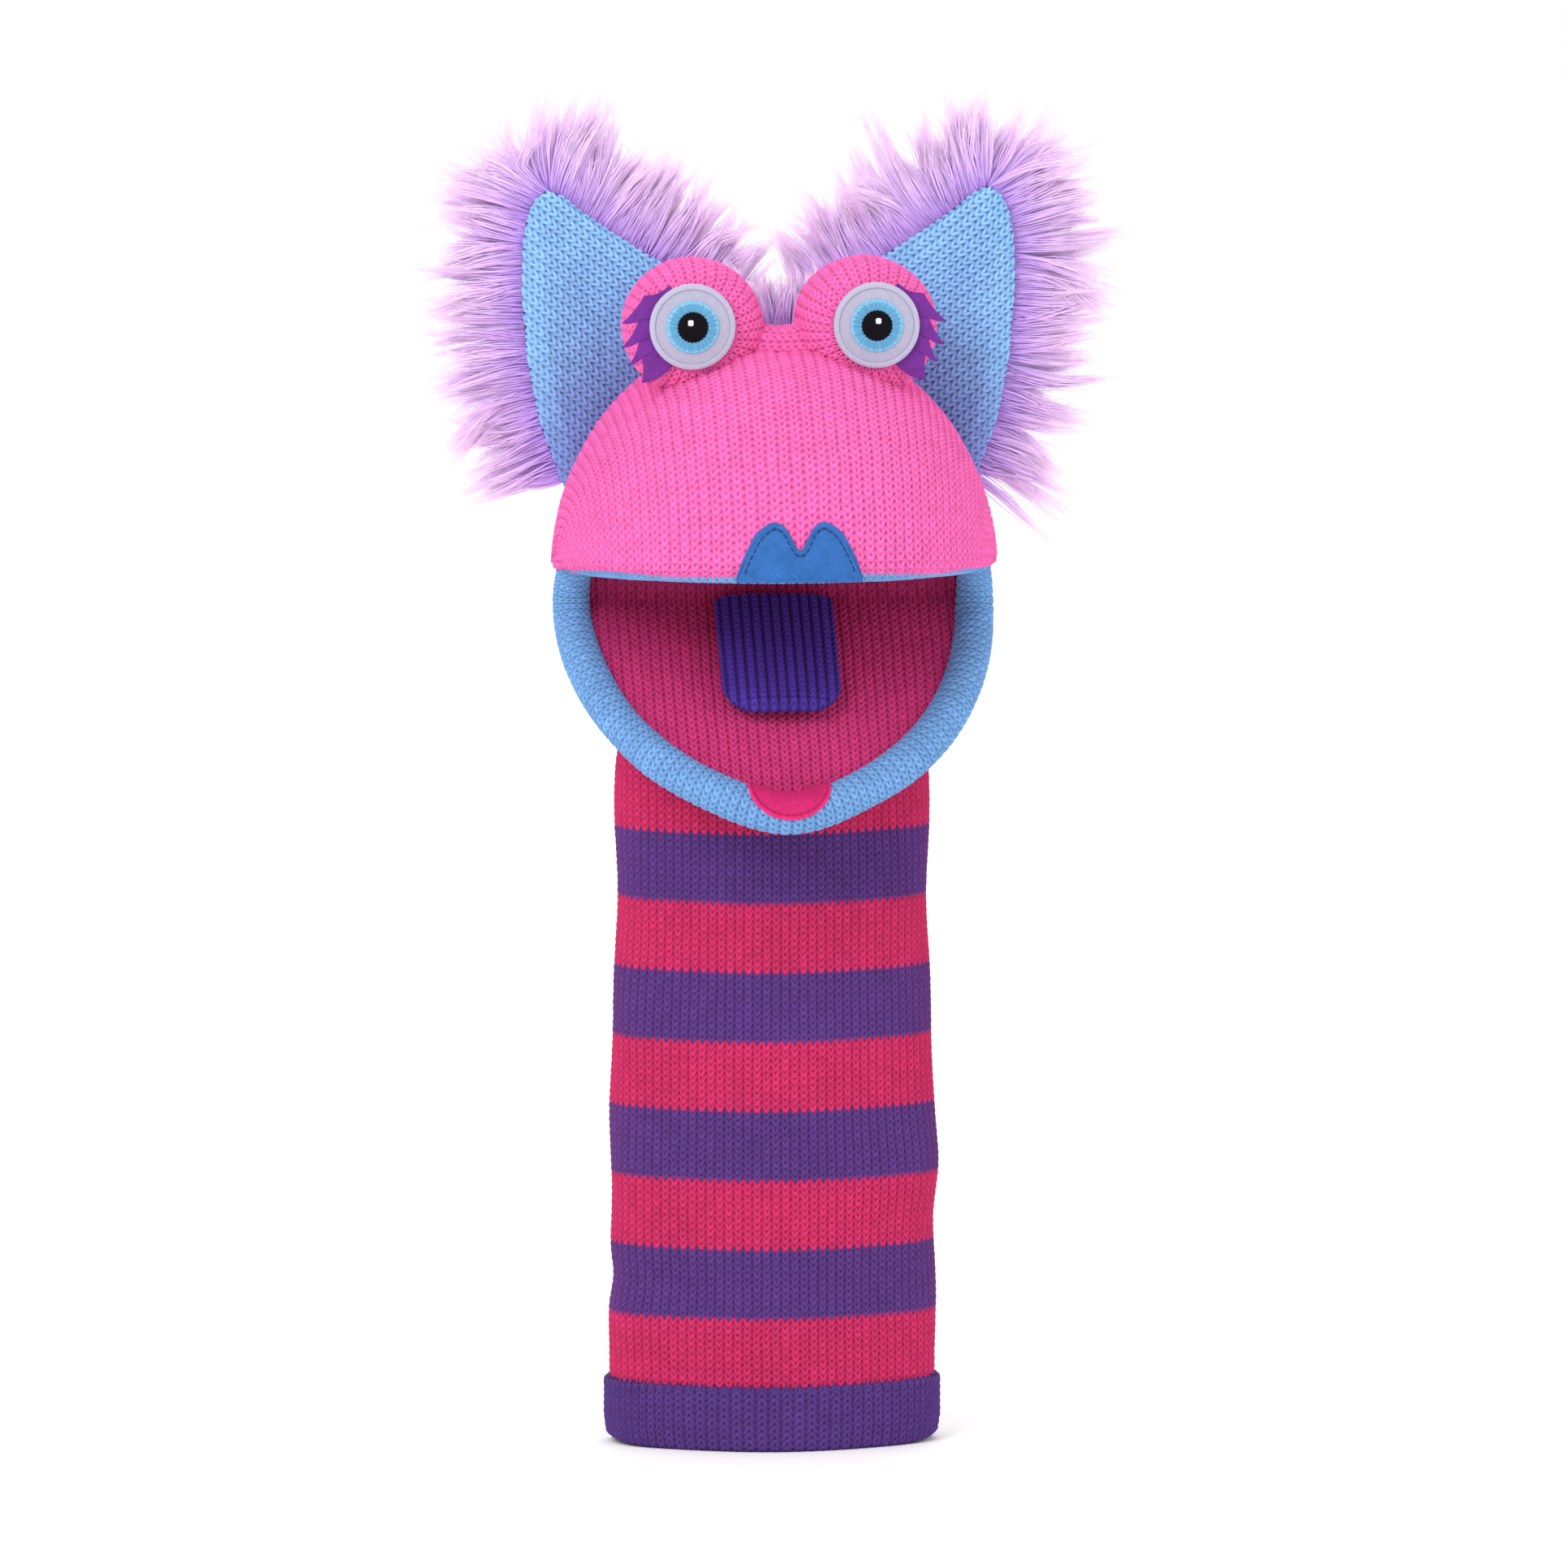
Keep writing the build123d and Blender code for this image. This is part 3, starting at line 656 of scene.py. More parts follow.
def head_points(a, b):
    """The head's cover. b below 0 runs round the lip's edge and under it."""
    rim = np.clip(-b, 0, None)
    x, ahead, level = dome(a, np.clip(b, 0.06, None))
    # full over the nose, with a soft dent between the eyes
    level = level + 1.6 * np.exp(-(((ahead - 62) / 26) ** 2 + (x / 40) ** 2))
    level = level - 1.3 * np.exp(-((x / 5.0) ** 2 + ((ahead - 34) / 14) ** 2))
    side = np.abs(np.sin(a)) ** 5
    # the turned edge at the lip
    radius = 6.0
    turn = np.clip(rim / radius, 0, 1.9)
    out = np.stack([np.sin(a) / HEAD[0], np.cos(a) / HEAD[1]])
    out = out / np.linalg.norm(out, axis=0)
    inward = radius * (1 - np.cos(turn))
    x, ahead = x - out[0] * inward, ahead - out[1] * inward
    sag = 0.2 * np.sin(a * 5 + 0.5) * clip01(1 - level / 30)
    level = level - radius * np.sin(turn) * (1 - 0.5 * side) + sag
    height = np.clip(level, 0, None)
    level = level + np.where(np.cos(b) > 0, 2.2, 0.0) * side * np.exp(-height / 8.0)
    height = np.clip(level, 0, None)
    return jaw_point(UPPER_DROP, x, ahead, level + HEAD_LEVEL + 3.0 * np.exp(-height / 6.0))


def make_head():
    """The knitted cover of the head, from the lip over the crown to the nape."""
    cols, rows, under = 68 * 7, 540, 39
    a = np.linspace(-math.pi / 2 * 0.995, math.pi / 2 * 0.995, cols)
    # equal arc per column along the lip
    run = run_along(np.stack([HEAD[0] * np.sin(a), HEAD[1] * np.cos(a)], -1))
    a = np.interp(np.linspace(0, run[-1], cols), run, a)
    b = np.concatenate([np.linspace(-10.5, 0, under + 1)[:-1], np.linspace(0, math.pi * 1.01, rows)])
    p = head_points(*np.meshgrid(a, b))
    w, c = from_middle(p) / 3.65 + 0.5, arc_lengths(p, 0) / HEAD_COURSE
    # painted light: the cover is a little brighter towards the crown, where the light falls from above
    painted_top_light = 1 + 0.02 * clip01((p[..., 2] - 300) / 30)
    obj = knit("head_knit", p, w, c, HEAD_PINK, depth=0.95, wobble=0.07, painted_light=painted_top_light)
    finish_piece(obj, YARN_HEAD, "head", "head_knit", "head_shell")


def lathe_profile(half, front, back, front_round, back_round, step=0.42):
    """Radius and y of a round-edged drum from the centre of its front to the centre of its back."""
    line = [(0.05, front), (half - front_round, front)]
    for t in np.linspace(0, math.pi / 2, 14)[1:]:
        line.append((half - front_round * (1 - math.sin(t)), front + front_round * (1 - math.cos(t))))
    for t in np.linspace(0, math.pi / 2, 18):
        line.append((half - back_round * (1 - math.cos(t)), back - back_round * (1 - math.sin(t))))
    line.append((0.05, back))
    return at_runs(line, np.arange(0, run_along(line)[-1], step))


def make_mound(side):
    """One stuffed eye mound: a plump drum that leans back a little at the top."""
    front, wales = -41.6, 36
    profile = lathe_profile(19.6, front, -5.0, 12.5, 14.0)
    turn = turned(wales * 8)[None]
    r, y = profile[:, :1], profile[:, 1:]
    plump = 1 + 0.035 * bell(y, -26, 9)
    x, z = r * np.sin(turn) * plump, r * np.cos(turn) * plump
    # fuller towards the nose, slacker at the outer side
    x = x - side * 1.1 * clip01(-side * np.sin(turn)) * clip01((r - 9) / 8)
    p = np.stack([side * 26.0 + x, y + 0.06 * (z + 5) * clip01((r - 12) / 6), 337.0 + z], -1)
    lump = 0.55 * smooth_noise(p, 13.0, 3 + side)
    p = p + lump[..., None] * np.stack([np.sin(turn) + 0 * r, -0.4 + 0 * x, np.cos(turn) + 0 * r], -1)
    w = turn / (2 * math.pi) * wales + 0.012 * (y + 41) + 0 * r
    c = arc_lengths(p, 0) / HEAD_COURSE
    name = SIDES[side]
    obj = knit("eye_mound_knit_" + name, p, w, c, HEAD_PINK, depth=0.85, wrap=True, wobble=0.07)
    finish_piece(obj, YARN_HEAD, "head", "head_knit", "eye_mound_" + name, "eye_stuffing_" + name)


def make_bridge():
    """The gathered knit between the mounds, where the snout runs up to its dart."""
    rows, cols, wales = 80, 110, 14
    t = np.linspace(-1, 1, rows)
    path = np.stack([t * 11.5, -25.5 - 2.5 * np.cos(t * 1.5), 331.4 - 1.0 * (1 - t * t)], -1)
    rings = tube_rings(path, 7.0 + 2.2 * t**2, cols)
    w = np.arange(cols)[None].repeat(rows, 0) / cols * wales
    c = arc_lengths(rings, 0) / 2.4
    obj = knit("brow_bridge_knit", rings, w, c, HEAD_PINK, depth=0.8, wrap=True, sign=-1)
    finish_piece(obj, YARN_HEAD, "head", "head_knit", "brow_bridge")


# ------------------------------------------------------------------ mouth
def lip_outline(half, ahead_from, count, tip=0.0):
    """x and ahead along a jaw's lip, from the left side to the right."""
    reach = math.pi / 2 - math.asin(ahead_from / half[1])
    t = np.linspace(reach, -reach, 2000)
    x = half[0] * np.sin(t)
    line = np.stack([x, (half[1] - tip) * np.cos(t) + tip * bell(x, 0, 17)], -1)
    return at_runs(line, np.linspace(0, run_along(line)[-1], count)).T


def roll_corner(p0, p1, side):
    """The bend of the roll at a mouth corner, from p0 to p1."""
    t = np.linspace(0, 1, 30)[1:-1, None]
    middle = np.array([side * 61.0, HINGE_Y + 6.5, HINGE_Z - 0.5])
    return (1 - t) ** 2 * p0 + 2 * t * (1 - t) * middle + t**2 * p1


def make_lip_roll():
    """One closed loop of padded roll round the whole mouth."""
    count, sides, courses = 1320, 84, 16
    low = jaw_point(LOWER_DROP, *lip_outline(ROLL, 7.0, 260, tip=TIP), ROLL_LEVEL)
    up = jaw_point(UPPER_DROP, *lip_outline((59.0, 84.8), 7.0, 260), 8.8)[::-1]
    path = np.concatenate([low, roll_corner(low[-1], up[0], -1), up, roll_corner(up[-1], low[0], 1)])
    path = at_runs(path, np.linspace(0, run_along(path)[-1], count, endpoint=False))
    for _ in range(6):
        path = (np.roll(path, 1, 0) + 2 * path + np.roll(path, -1, 0)) / 4
    # fatter below than above
    above = (path - np.array(mouth_cut(0))) @ np.array([0, *MOUTH_UP])
    radius = np.interp(above, [-16, -5, 5, 14], [ROLL_RADIUS, 5.3, 4.9, 4.6])
    radius = radius * (1 + 0.03 * smooth_noise(path, 14.0, 8))
    tangent = unit(np.roll(path, -1, 0) - np.roll(path, 1, 0))
    out = (path - np.array([0, HINGE_Y - 30, HINGE_Z - 10])) * np.array([1.2, 1, 1])
    out = unit(out - tangent * np.sum(out * tangent, 1, keepdims=True))
    rise = np.cross(tangent, out)
    angle = turned(sides)[None, :, None]
    p = path[:, None] + (out[:, None] * np.cos(angle) + rise[:, None] * np.sin(angle)) * radius[:, None, None]
    p = np.concatenate([p, p[:1]])
    wales = round(run_along(np.concatenate([path, path[:1]]))[-1] / WALE)
    w = (np.arange(count + 1) / count * wales)[:, None].repeat(sides, 1)
    c = (np.arange(sides) / sides * courses)[None].repeat(count + 1, 0)
    obj = knit("lip_roll_knit", p, w, c, LIP_BLUE, depth=0.8, wrap=True)
    nodes = ("upper_lip_roll", "lower_lip_roll", "upper_lip_core", "lower_lip_core")
    nodes += ("mouth_corner_left", "mouth_corner_right")
    finish_blend(obj, YARN_LIP, JAWS, (mouth_cut(4), mouth_cut(-4)), "lip_knit", *nodes)


def mouth_cut(offset):
    """A point offset mm above the plane midway between the jaws, through the hinge."""
    return (0, HINGE_Y + MOUTH_UP[0] * offset, HINGE_Z + MOUTH_UP[1] * offset)


def make_lining():
    """One sheet lines the lower jaw, folds at the hinge and lines the roof of the mouth."""
    cols, fold_radius = 330, 8.2
    u = np.linspace(-1, 1, cols)
    ahead = np.linspace(81.0, 1.0, 230)
    rows = []
    for s in ahead:
        half = 56.5 * math.sqrt(max(1 - (s / 81.5) ** 2, 0)) + 0.6
        arch = math.sin(math.pi * s / 80)
        sag = 0.7 * (1 - u**2) * math.sin(math.pi * min(s / 80, 1))
        rows.append(jaw_point(LOWER_DROP, u * half, s, 0.9 * arch - 8.2 - sag))
    for a in np.radians(-47 + 133 * np.linspace(0, 1, 30)[1:-1]):
        y, z = HINGE_Y + fold_radius * math.cos(a), HINGE_Z + fold_radius * math.sin(a)
        rows.append(np.stack(np.broadcast_arrays(u * 56.5, y, z), -1))
    middle = len(rows) - 14
    for s in ahead[::-1]:
        half = 55.0 * math.sqrt(max(1 - (s / 82.0) ** 2, 0)) + 1
        rows.append(jaw_point(UPPER_DROP, u * half, s, 8.4))
    p = np.array(rows)
    w = p[..., 0] / 3.0 + 0.5
    c = (arc_lengths(p[:, [cols // 2]], 0) / 2.3).repeat(cols, 1)
    # painted shade: darker towards the back of the mouth, deep inside where little light reaches
    lit = clip01(np.abs(np.arange(len(rows)) - middle) / 140.0)[:, None].repeat(cols, 1)
    painted_light = 0.8 + 0.2 * lit
    obj = knit("mouth_lining_knit", p, w, c, LINING, depth=0.85, wobble=0.06, shade=0.6, painted_light=painted_light)
    nodes = ("lower_lining", "palate_lining", "mouth_back_lining")
    finish_blend(obj, YARN_LINING, JAWS, (mouth_cut(6), mouth_cut(-6)), "lining_knit", *nodes)


def make_chin():
    """The sleeve's fabric carries on from the throat to the lower lip."""
    cols, rows, reach = 460, 170, 1.62
    phi = np.linspace(-reach, reach, cols)
    seam = np.interp(np.abs(phi), [0, 0.6, 1.1, 1.35, 1.5, 1.65], [206, 211, 229, 239, 248, 256])
    foot = sleeve_points(phi, seam) + np.array([0.0, 0.5, 0.0])
    lip = jaw_point(LOWER_DROP, *lip_outline((58.0, 80.5), 3.0, cols, tip=TIP), -12.6)[::-1]
    v = np.linspace(0, 1, rows)[:, None, None]
    belly = 4.5 * np.sin(math.pi * v) * np.cos(phi / reach * math.pi / 2)[None, :, None] ** 0.6
    down = np.array([0.0, math.sin(math.radians(LOWER_DROP)), -math.cos(math.radians(LOWER_DROP))])
    p = foot[None] * (1 - v) + lip[None] * v + belly * down
    w, c = from_middle(p) / WALE + 0.5, arc_lengths(p, 0) / COURSE
    obj = knit("chin_knit", p, w, c, PINK, **SLEEVE_GAUGE)
    finish_blend(obj, YARN_PINK, JAWS, THROAT, "sleeve_knit", "chin_cover", "throat_gusset")


def make_cheeks():
    """The fold of knit inside each mouth corner, carried by the lower jaw."""
    s, v = np.meshgrid(np.linspace(1.0, 44.0, 150), np.linspace(0, 1, 110))
    deep = 17.0 * clip01(1 - ((s - 14) / 30) ** 2) + 1
    x = 55.0 * circle(s / 80.0) + 1.5 - 11.5 * v**1.3
    for side, name in SIDES.items():
        p = jaw_point(LOWER_DROP, side * x, s - 2.0 * v, -12.0 - deep * v)
        gauge = dict(SLEEVE_GAUGE, depth=0.5)
        obj = knit("cheek_fold_" + name, p, s / WALE, deep * v / COURSE, PINK, sign=side, **gauge)
        finish_piece(obj, YARN_PINK, "lower_jaw", "sleeve_knit")


def power(q, exponent):
    """q to a power, keeping its sign."""
    return np.sign(q) * np.abs(q) ** exponent


def make_tongue():
    """Ribbed tongue with a stitched edge."""
    _, *hinge = jaw_point(LOWER_DROP, 0.0, 2.5, -5.1)
    half_width, length, thick, corner, rib_width = 17.5, 46.5, 5.0, 10.5, 2.95
    rows, cols = 240, 300
    s = (length * (1 - (1 - np.linspace(0, 1, rows)) ** 1.6))[:, None]
    over = np.clip(s - (length - corner), 0, corner)
    half = half_width - corner + np.sqrt(np.clip(corner**2 - over**2, 0.15, None))
    # equal arc round the flattened section
    fine = np.linspace(0, 2 * math.pi, 4001)
    section = [half_width * power(np.cos(fine), 0.55), thick / 2 * power(np.sin(fine), 0.8)]
    run = run_along(np.stack(section, -1))
    angle = np.interp(np.arange(cols) / cols * run[-1], run, fine)[None]
    x = half * power(np.cos(angle), 0.55)
    lift = thick / 2 * power(np.sin(angle), 0.8) * clip01((length - s) / 2.4) ** 0.5
    rib = np.cos(2 * math.pi * x / rib_width)
    lift = lift + 0.30 * rib * np.clip(np.sin(angle) * 3, -1, 1) * clip01((length - s - 1.5) / 2)
    lift = lift - 0.5 * bell(s, length - 3.4, 0.55) * np.sign(np.sin(angle))
    curl = 0.5 - 0.6 * (x / half_width) ** 2 - (s / length) ** 2
    p = jaw_point(LOWER_DROP - 6.0, x, s, lift + curl, hinge)
    course = s / 2.1 + 0 * x
    w = x / rib_width + 0.5
    h, _ = knit_relief(w, course)
    p = p + grid_normals(p, True) * (0.6 * (h - 0.6))[..., None]
    # painted shade: darker in the grooves between the ribs and in the stitch holes
    tone = 0.40 + 0.60 * clip01(0.5 + 0.5 * rib) ** 0.6 * (0.45 + 0.6 * h)
    tone = tone * (1 + 0.08 * smooth_noise(p, 6.0, 2))
    coords = np.stack([w, course, 0 * w], -1)
    faces = grid_faces(rows, cols, True)
    obj = make_mesh("tongue_knit", p, faces, Col=clip01(TONGUE * tone[..., None]), knit=coords)
    finish_piece(obj, YARN_TONGUE, "tongue", "tongue_knit", "tongue_cover", "tongue_wadding")


# ------------------------------------------------------------------ felt and embroidery
def head_front(x, level, grow):
    """How far ahead the head's cover lies at a place on the snout."""
    share = (x / (HEAD[0] + grow)) ** 2 + (np.clip(level - HEAD_LEVEL - 1.5, 0, None) / (HEAD[3] + grow)) ** 2
    return (HEAD[1] + grow) * np.sqrt(clip01(1 - share))


# half of the upper patch's edge, from the notch between its humps to its corner
BOW_FOOT = 6.0
BOW_X = [0.0, 0.9, 2.0, 3.5, 5.0, 7.1, 9.0, 10.7, 12.2, 13.4, 15.6, 17.3, 18.8]
BOW_Z = [8.0, 8.5, 10.8, 13.7, 15.5, 16.3, 15.9, 14.8, 13.6, 12.2, 8.1, 4.2, 0.0]


def lip_bow(x):
    """Height of the upper lip patch's edge above its foot."""
    return np.interp(np.abs(x), BOW_X, BOW_Z)


def make_upper_patch():
    """The blue felt lip with two humps, and the running stitch inside its edge."""
    cols, rows = 220, 80
    x = 18.75 * np.sin(np.linspace(-math.pi / 2, math.pi / 2, cols))
    x, v = np.meshgrid(x, np.linspace(0, 1, rows))
    foot = 4.4
    level = foot + v * (lip_bow(x) + BOW_FOOT - foot)
    edge = (1 - v) * (lip_bow(x) + 4) * 0.72
    rise = 0.35 + 1.0 * np.sqrt(clip01(edge / 0.9)) - 0.28 * bell(edge, 1.7, 0.35)
    ahead = head_front(x, level, 0.2) + rise - np.clip(7.0 - level, 0, None) ** 2 * 0.09
    p = jaw_point(UPPER_DROP, x, ahead, level)
    p = p + 0.06 * smooth_noise(p, 1.3, 4)[..., None]
    obj = make_mesh("upper_lip_felt", p, grid_faces(rows, cols), Col=mottled(FELT_BLUE, p, 5.0, 2))
    finish_piece(obj, FELT["blue"], "head", "felt_blue", "upper_lip_patch")
    # running stitch just inside the edge, dipping into the notch
    x = np.linspace(-16.6, 16.6, 1200)
    outer = np.abs(x) > 7
    level = lip_bow(np.where(outer, x + np.sign(x) * 1.5, x)) + BOW_FOOT - 1.5
    notch = lip_bow(np.clip(np.abs(x) - 0.9, 0, None)) + 4.4
    level = np.clip(np.where(outer, level, np.minimum(level, notch)), 6.4, None)
    line = jaw_point(UPPER_DROP, x, head_front(x, level, 0.2) + 1.35, level)
    obj = strands_mesh("upper_lip_running_stitch", cut_dashes(line, 1.35, 0.85), 0.24, srgb(16, 44, 92))
    finish_piece(obj, SEWING, "head", "thread_blue", "upper_lip_stitching")


def cut_dashes(line, dash, gap):
    """Short stitches along a line."""
    starts = np.arange(gap, run_along(line)[-1] - dash, dash + gap)
    return [at_runs(line, np.linspace(start, start + dash, 4)) for start in starts]


def roll_surface(x, psi, grow):
    """A point on the lower roll at x, psi round from the lining side (0) over the top to the outside."""
    lip_x, lip_s = [v[::-1] for v in lip_outline(ROLL, 7.0, 2000, tip=TIP)]
    slope = np.interp(x, lip_x, np.gradient(lip_s, lip_x))
    out = -np.cos(psi) * (ROLL_RADIUS + grow) / np.hypot(1, slope)
    lift = np.sin(psi) * (ROLL_RADIUS + grow)
    return jaw_point(LOWER_DROP, x - slope * out, np.interp(x, lip_x, lip_s) + out, ROLL_LEVEL + lift)


def patch_reach(x):
    """How far round the roll the lower patch goes, as an angle."""
    return 2.45 * circle(x / 14.65) ** 0.9


def make_lower_patch():
    """The pink felt half-round that wraps the lower roll, and its running stitch."""
    cols, rows, first = 120, 56, 0.10
    x = 14.6 * np.sin(np.linspace(-math.pi / 2, math.pi / 2, cols))
    x, v = np.meshgrid(x, np.linspace(0, 1, rows))
    reach = patch_reach(x)
    edge = np.minimum((1 - v) * reach * 6.3, 14.7 - np.abs(x))
    rise = 0.25 + 1.0 * np.sqrt(clip01(edge / 0.8)) - 0.25 * bell(edge, 1.5, 0.3)
    p = roll_surface(x, first + v * reach, rise)
    p = p + 0.05 * smooth_noise(p, 1.3, 4)[..., None]
    rim = clip01(1 - edge / 1.3)[..., None]
    col = mottled(FELT_PINK, p, 5.0, 2) * (1 - rim) + srgb(244, 46, 120) * rim
    obj = make_mesh("lower_lip_felt", p, grid_faces(rows, cols)[:, ::-1], Col=clip01(col))
    finish_piece(obj, FELT["pink"], "lower_jaw", "felt_pink", "lower_lip_patch")
    x = np.linspace(-12.6, 12.6, 600)
    line = roll_surface(x, first + patch_reach(x) - 0.25, 1.15)
    obj = strands_mesh("lower_lip_running_stitch", cut_dashes(line, 1.3, 0.8), 0.2, srgb(150, 12, 66))
    finish_piece(obj, SEWING, "lower_jaw", "thread_pink", "lower_lip_stitching")


def eye_rings(side, radii, spokes):
    """Rings of points round an eye's centre on its front plane, with their radii and angles."""
    r, a = np.broadcast_arrays(np.asarray(radii)[:, None], turned(spokes)[None])
    x, z = side * EYE_X + r * np.sin(a), EYE_Z + r * np.cos(a)
    return np.stack([x, np.full_like(x, EYE_FRONT), z], -1), r, a


def eye_crown(r):
    """How far the embroidery's ground bulges forward at radius r."""
    return 0.8 * (1 - (r / 13) ** 2)


def make_eye_ground(side):
    """White ground: slanted fill stitches inside a satin ring."""
    name, stitch = SIDES[side], 0.42
    radii = [[0.02], np.linspace(0.4, 12.35, 110), np.linspace(12.45, 12.75, 5), [12.8, 12.8, 12.75]]
    p, r, a = eye_rings(side, np.concatenate(radii), 720)
    lean = ((p[..., 0] - side * EYE_X) * 0.94 + (p[..., 2] - EYE_Z) * 0.34) / stitch
    fill = np.abs(np.sin(lean * math.pi))
    satin = np.abs(np.sin(a * 85))
    ring = r > 11.15
    p[..., 1] -= np.where(ring, stitch * circle((r - 11.9) / 0.95) + 0.12 * satin, 0.10 * fill) + eye_crown(r)
    p[-3:, :, 1] = EYE_FRONT + np.array([0.2, 1.2, 1.7])[:, None]
    uneven = 0.7 + 0.3 * hash01(np.floor(lean), np.floor(p[..., 2] / 2.2))
    # painted shade: darker between the fill stitches and the satin stitches, and a dark line in the groove
    # where the ring meets the fill
    tone = np.where(ring, 0.78 + 0.27 * satin, 0.70 + 0.32 * fill * uneven)
    tone = tone * (1 - 0.22 * bell(r, 11.05, 0.16))
    obj = make_mesh("eye_ground_" + name, p, grid_faces(*r.shape, True), Col=WHITE * tone[..., None])
    finish_piece(obj, THREAD, "head", "thread_white", "eye_disc_" + name)


def make_iris(side):
    """A band of radial satin stitch with a pale scalloped rim."""
    name = SIDES[side]
    p, r, a = eye_rings(side, np.concatenate([[4.2, 4.2], np.linspace(4.25, 7.8, 46), [7.82, 7.82]]), 840)
    spoke = np.abs(np.sin(a * 52 + 0.6 * np.sin(a * 9)))
    rim = clip01((r - 6.9 - 0.25 * np.sin(a * 31)) / 0.25)[..., None]
    p[..., 1] -= eye_crown(r) + 0.12 + 0.45 * circle((r - 6.1) / 2.1) + 0.12 * spoke
    p[0, :, 1] = EYE_FRONT - 0.3
    p[-1, :, 1] = EYE_FRONT - 0.1
    # painted shade between the satin stitches
    tone = (0.74 + 0.26 * spoke) * (1 + 0.08 * np.sin(a * 23 + 2 * np.sin(a * 5)))
    col = (IRIS * (1 - rim) + IRIS_RIM * rim) * tone[..., None]
    obj = make_mesh("iris_" + name, p, grid_faces(*r.shape, True), Col=clip01(col))
    finish_piece(obj, THREAD, "head", "thread_iris", "eye_iris_" + name)


def make_pupil(side):
    """Padded satin, its stitches running up and down, and a glint of short white stitches."""
    name, middle = SIDES[side], side * EYE_X
    p, r, a = eye_rings(side, np.concatenate([[0.02], np.linspace(0.3, 4.55, 40), [4.75, 4.8, 4.8]]), 480)
    edge = 1 + 0.035 * np.sin(a * 26) * clip01(r - 3.6)
    p[..., 0] = middle + (p[..., 0] - middle) * edge
    p[..., 2] = EYE_Z + (p[..., 2] - EYE_Z) * edge
    rows = np.abs(np.sin((p[..., 0] - middle) * math.pi / 0.38))
    p[..., 1] -= eye_crown(r) + 0.30 + 0.5 * circle(r / 4.9) + 0.08 * rows
    p[-1, :, 1] = EYE_FRONT - 0.5
    # painted shade between the rows of stitches
    col = PUPIL * (0.6 + 0.4 * rows)[..., None]
    obj = make_mesh("pupil_" + name, p, grid_faces(*r.shape, True), Col=col)
    finish_piece(obj, PUPIL_THREAD, "head", "thread_black", "eye_pupil_" + name)
    x0, z0 = (middle + 0.4, EYE_Z + 1.4) if side > 0 else (middle - 0.7, EYE_Z + 1.3)
    lines, y = [], EYE_FRONT - 1.65
    for x in 0.31 * np.arange(-2, 3):
        tall = 0.8 * math.sqrt(max(1 - (x / 1.1) ** 2, 0.1))
        lines.append([(x0 + x, y + 0.15, z0 - tall), (x0 + x, y - 0.12, z0), (x0 + x, y + 0.15, z0 + tall)])
    obj = strands_mesh("glint_" + name, lines, 0.2, srgb(250, 250, 255))
    finish_piece(obj, THREAD, "head", "thread_white", "eye_glint_" + name)


LASH = [
    # x and z from the eye's centre, and how far the edge bows between this point and the next
    (6.5, 12.4, 0.9), (14.2, 9.2, 0.5), (20.8, 1.0, -0.7), (15.6, 2.2, 0.5), (20.6, -6.2, -0.6),
    (15.6, -4.2, 0.4), (18.6, -11.6, -0.5), (14.8, -9.0, 0.4), (14.9, -16.9, -0.9), (6.2, -12.2, 0.0),
]


def lash_edge():
    """The lashes' outer edge, each stretch between two points bowed."""
    edge = []
    for (x0, z0, bow), (x1, z1, _) in zip(LASH, LASH[1:]):
        dx, dz = x1 - x0, z1 - z0
        for t in np.linspace(0, 1, 10, endpoint=False):
            push = 4 * bow * t * (1 - t) / math.hypot(dx, dz)
            edge.append((x0 + dx * t + dz * push, z0 + dz * t - dx * push))
    return np.array(edge + [LASH[-1][:2]])


def make_lashes(side):
    """Felt lashes behind the eye's outer edge."""
    name, rows, front = SIDES[side], 16, -42.2
    edge = lash_edge()
    (x0, z0, _), (x1, z1, _) = LASH[0], LASH[-1]
    turn = np.linspace(math.atan2(x0, z0), math.atan2(x1, z1), len(edge))
    inner = 9.0 * np.stack([np.sin(turn), np.cos(turn)], -1)
    v = np.linspace(0, 1, rows)[:, None, None]
    flat = inner[None] * (1 - v) + edge[None] * v
    flat = np.concatenate([flat, flat[-1:]])
    bend = 0.05 * np.clip(np.hypot(flat[..., 0], flat[..., 1]) - 12, 0, None) ** 1.4
    soft = 0.35 * clip01((np.linspace(0, 1, rows + 1)[:, None] - 0.9) / 0.1) ** 2
    face = np.stack([side * (EYE_X + flat[..., 0]), front - 0.1 + bend + soft, EYE_Z + flat[..., 1]], -1)
    back = face.copy()
    back[..., 1] = front + 1.1 + bend - soft
    p = np.concatenate([face, back[::-1]])
    p = p + 0.05 * smooth_noise(p, 1.2, 6)[..., None]
    faces = grid_faces(len(p), len(edge))
    if side > 0:
        faces = faces[:, ::-1]
    obj = make_mesh("lashes_" + name, p, faces, Col=mottled(FELT_PURPLE, p, 4.0, 3))
    finish_piece(obj, FELT["purple"], "head", "felt_purple", "eyelashes_" + name)


# ------------------------------------------------------------------ ears
# x and z along the ear's two edges, from its foot to its tip
EAR_INNER = [
    (12.0, 334.0), (18.0, 342.5), (30.0, 351.0), (44.0, 359.5), (56.0, 368.0), (61.5, 372.6), (65.0, 374.2),
]
EAR_OUTER = [
    (61.0, 285.5), (68.0, 303.0), (72.2, 325.0), (73.6, 345.0), (73.0, 362.0), (70.5, 371.5), (66.0, 374.3),
]


def along(points, t):
    """Points at shares t of a polyline whose corners are smoothed."""
    line = at_runs(points, np.linspace(0, run_along(points)[-1], 200))
    for _ in range(60):
        line[1:-1] = (line[:-2] + 2 * line[1:-1] + line[2:]) / 4
    share = np.linspace(0, 1, len(line))
    return np.stack([np.interp(t, share, column) for column in line.T], -1)


